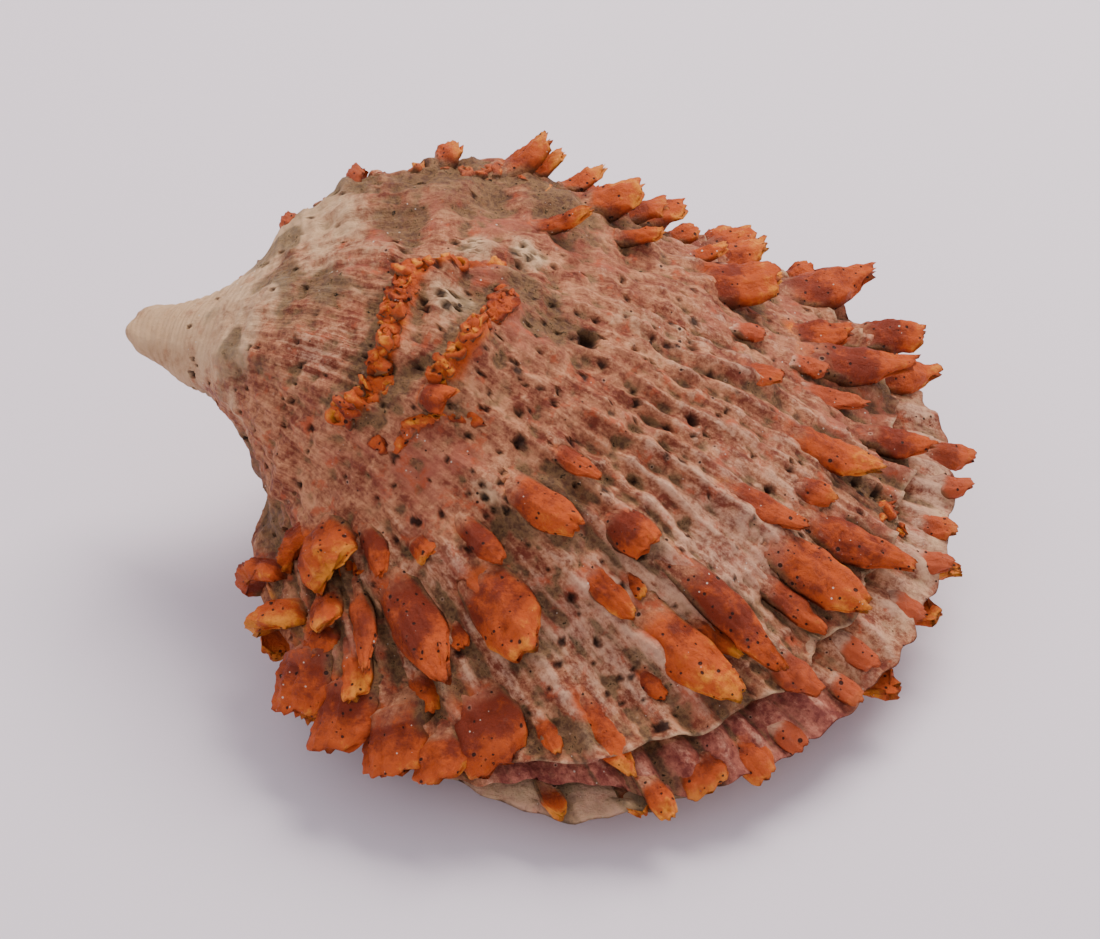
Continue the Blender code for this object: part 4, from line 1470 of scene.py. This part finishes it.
def holes_and_rims(tree, at, orange_share):
    """All holes, and the pale rims of the large ones, which hardly show where the skin is orange."""
    large, rim = pin_holes(tree, at, LARGE_CELL, LARGE_RADIUS)
    small, _ = pin_holes(tree, at, SMALL_CELL, SMALL_RADIUS)
    holes = node(tree, "ShaderNodeMath", {0: large, 1: small}, operation="MAXIMUM").outputs[0]
    holes = node(tree, "ShaderNodeMath", {0: holes, 1: at["hole"]}, operation="MAXIMUM").outputs[0]
    return holes, weighted(tree, [(rim, weighted(tree, [(orange_share, -0.25)], 0.28))])


def specks(tree, at):
    """The share of pale sand grains: near the middles of cells, and only where the clouds are thick."""
    cells = node(tree, "ShaderNodeTexVoronoi", {"Vector": at["place"], "Scale": 1 / SPECK_CELL})
    parts = [(at["clouds"], 0.6), (cells.outputs["Distance"], -1.0)]
    return stepped(tree, 0.0, 0.03, parts, -0.26, end=0.8)


def dirt_and_shade_coats(tree, at):
    """Two coats of dirt with painted shade: olive in two tones, and black crumbs where it is thick."""
    light = stepped(tree, 0.40, 0.60, [(at["crumbs"], 1.0)])
    dark_crumbs = stepped(tree, 0.56, 0.66, [(at["crumbs"], 1.0)])
    return [
        (weighted(tree, [(coat_share(tree, at, "dirt_and_shade"), 0.75)]),
         painted(tree, DIRT_AND_SHADE, [(light, DIRT_AND_SHADE_LIGHT)])),
        (weighted(tree, [(dark_crumbs, coat_share(tree, at, "black"))]), DIRT_AND_SHADE_BLACK),
    ]


print("largest pin hole in mm:", round(2 * LARGE_RADIUS * LARGE_CELL / MM, 2))

# %% [markdown]
# Relief finer than the mesh is a bump: crumbs and blotches all over, threads along the flow, and on the
# beak its fine rings, which are waves of the growth.

# %% The finish of both valves
CREAM_COLOUR = "#F3CFA4"
CREAM_DARK = "#B8855D"
# The painted shade inside pin holes and borings.
HOLE = "#1E0A05"
SAND = "#DDD2C0"
# Radians of the rings' wave in a unit of the flow, which makes a ring about every millimetre.
RING_PITCH = 38.0
# Where the rings fade out, in units of the flow.
RING_FADE = (4.0, 6.5)
BUMP_HEIGHT = 0.8 * MM
BUMP_STRENGTH = 0.9
GLOSS = 0.28
SMOOTHEST = 0.5
ROUGHEST = 0.78


def fine_relief(tree, at, holes):
    """Blotches, crumbs, rings and threads added up, less the holes."""
    growth = node(tree, "ShaderNodeSeparateXYZ", {"Vector": at["flow"]}).outputs[2]
    turns = weighted(tree, [(at["blotches"], 4.0), (growth, RING_PITCH)])
    waves = node(tree, "ShaderNodeMath", {0: turns}, operation="SINE").outputs[0]
    on_beak = stepped(tree, *RING_FADE, [(growth, 1.0)], start=1.0, end=0.0)
    rings = weighted(tree, [(waves, on_beak)])
    lines = weighted(tree, [(rings, 0.16), (at["threads"], 0.35)])
    return weighted(tree, [(at["blotches"], 1.6), (at["crumbs"], 0.9), (lines, 1.0), (holes, -1.0)])


def worn_calcite(name):
    """The grown colour, worn cream, orange, dirt with painted shade, rims, holes painted dark as their
    shade, and specks, one over another.
    """
    material = empty_material(name)
    tree = material.node_tree
    at = sources(tree)
    orange_share = coat_share(tree, at, "orange")
    holes, rims = holes_and_rims(tree, at, orange_share)
    base = painted(tree, grown_colour(tree, at), [
        (coat_share(tree, at, "cream"), painted(tree, CREAM_DARK, [(at["blotches"], CREAM_COLOUR)])),
        (orange_share, orange_colour(tree, at)),
        *dirt_and_shade_coats(tree, at),
        (rims, STREAK),
        # Holes painted near black, as the shade inside them.
        (weighted(tree, [(holes, 0.9)]), HOLE),
        (specks(tree, at), SAND),
    ])
    bump = node(tree, "ShaderNodeBump", {
        "Strength": BUMP_STRENGTH, "Distance": BUMP_HEIGHT, "Height": fine_relief(tree, at, holes)})
    surface = node(tree, "ShaderNodeBsdfPrincipled", {
        "Base Color": base, "Specular IOR Level": GLOSS, "Normal": bump.outputs["Normal"],
        "Roughness": stepped(tree, 0.35, 0.65, [(at["crumbs"], 1.0)], start=SMOOTHEST, end=ROUGHEST)})
    node(tree, "ShaderNodeOutputMaterial", {"Surface": surface.outputs["BSDF"]})
    return material


calcite = worn_calcite("weathered_calcite")
for piece in (old_part, new_part, near_spines, far_spines, crust, lower_part, below_spines):
    piece.data.materials.append(calcite)
print("weathered calcite:", len(calcite.node_tree.nodes), "nodes")

# %% [markdown]
# ## Standing it in the frame
#
# Each piece rides on the one body and stands for the valve it belongs to.

# %% Riding and replacing
for piece in (old_part, new_part, near_spines, far_spines, crust):
    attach(piece, "root")
    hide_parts("upper_valve")
for piece in (lower_part, below_spines):
    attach(piece, "root")
    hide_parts("lower_valve")

# %% [markdown]
# ## A table, soft light and the camera
#
# The shell lies on a pale lilac-grey sheet under a large soft light, with only a faint shadow in front
# of it and to its left. One broad light above and behind, a weak one in front and a bright surround
# give that.

# %% The floor
FLOOR_SIZE = 4.0
FLOOR_COLOUR = "#E2D8E0"


def paper(name, shade):
    """Smooth matte paper, which scatters light evenly and has no gloss to speak of."""
    material = empty_material(name)
    tree = material.node_tree
    surface = node(tree, "ShaderNodeBsdfPrincipled", {"Base Color": colour(shade), "Roughness": 0.9})
    node(tree, "ShaderNodeOutputMaterial", {"Surface": surface.outputs["BSDF"]})
    return material


bpy.ops.mesh.primitive_plane_add(size=FLOOR_SIZE)
floor = bpy.context.active_object
floor.name = "floor"
floor.data.materials.append(paper("matte_paper", FLOOR_COLOUR))

# %% Lights
LIT_POINT = (0, 0, 0.03)
# Each light's place, its side in metres, its power in watts and its colour.
LIGHTS = {
    "window": ((0.30, 0.50, 0.90), 0.6, 15.5, "#FFF8F2"),
    "fill": ((-0.5, -0.7, 0.6), 1.0, 3.0, "#F6F4FF"),
}
SKY_COLOUR = "#E6E2EA"
SKY_STRENGTH = 0.92


def area_light(name, place, size, power, shade):
    """A square light that looks at the shell."""
    lamp = bpy.data.lights.new(name, "AREA")
    lamp.size = size
    lamp.energy = power
    lamp.color = colour(shade)[:3]
    made = bpy.data.objects.new(name, lamp)
    made.location = place
    made.rotation_euler = (Vector(LIT_POINT) - Vector(place)).to_track_quat("-Z", "Y").to_euler()
    bpy.context.scene.collection.objects.link(made)


for name, light in LIGHTS.items():
    area_light(name, *light)
world = bpy.data.worlds.new("studio")
world.use_nodes = True
bpy.context.scene.world = world
sky = world.node_tree.nodes["Background"]
sky.inputs["Color"].default_value = colour(SKY_COLOUR)
sky.inputs["Strength"].default_value = SKY_STRENGTH

# %% The camera, at the photograph's angle
ELEVATION = math.radians(39.3)
AIM = Vector((-0.0011, -0.0155, 0.0374))
DISTANCE = 0.380
LENS = 75
SENSOR = 36

camera_data = bpy.data.cameras.new("camera")
camera_data.lens = LENS
camera_data.sensor_width = SENSOR
camera = bpy.data.objects.new("camera", camera_data)
camera.location = AIM + DISTANCE * Vector((0, -math.cos(ELEVATION), math.sin(ELEVATION)))
camera.rotation_euler = (AIM - camera.location).to_track_quat("-Z", "Y").to_euler()
bpy.context.scene.collection.objects.link(camera)
bpy.context.scene.camera = camera

bpy.context.view_layer.update()
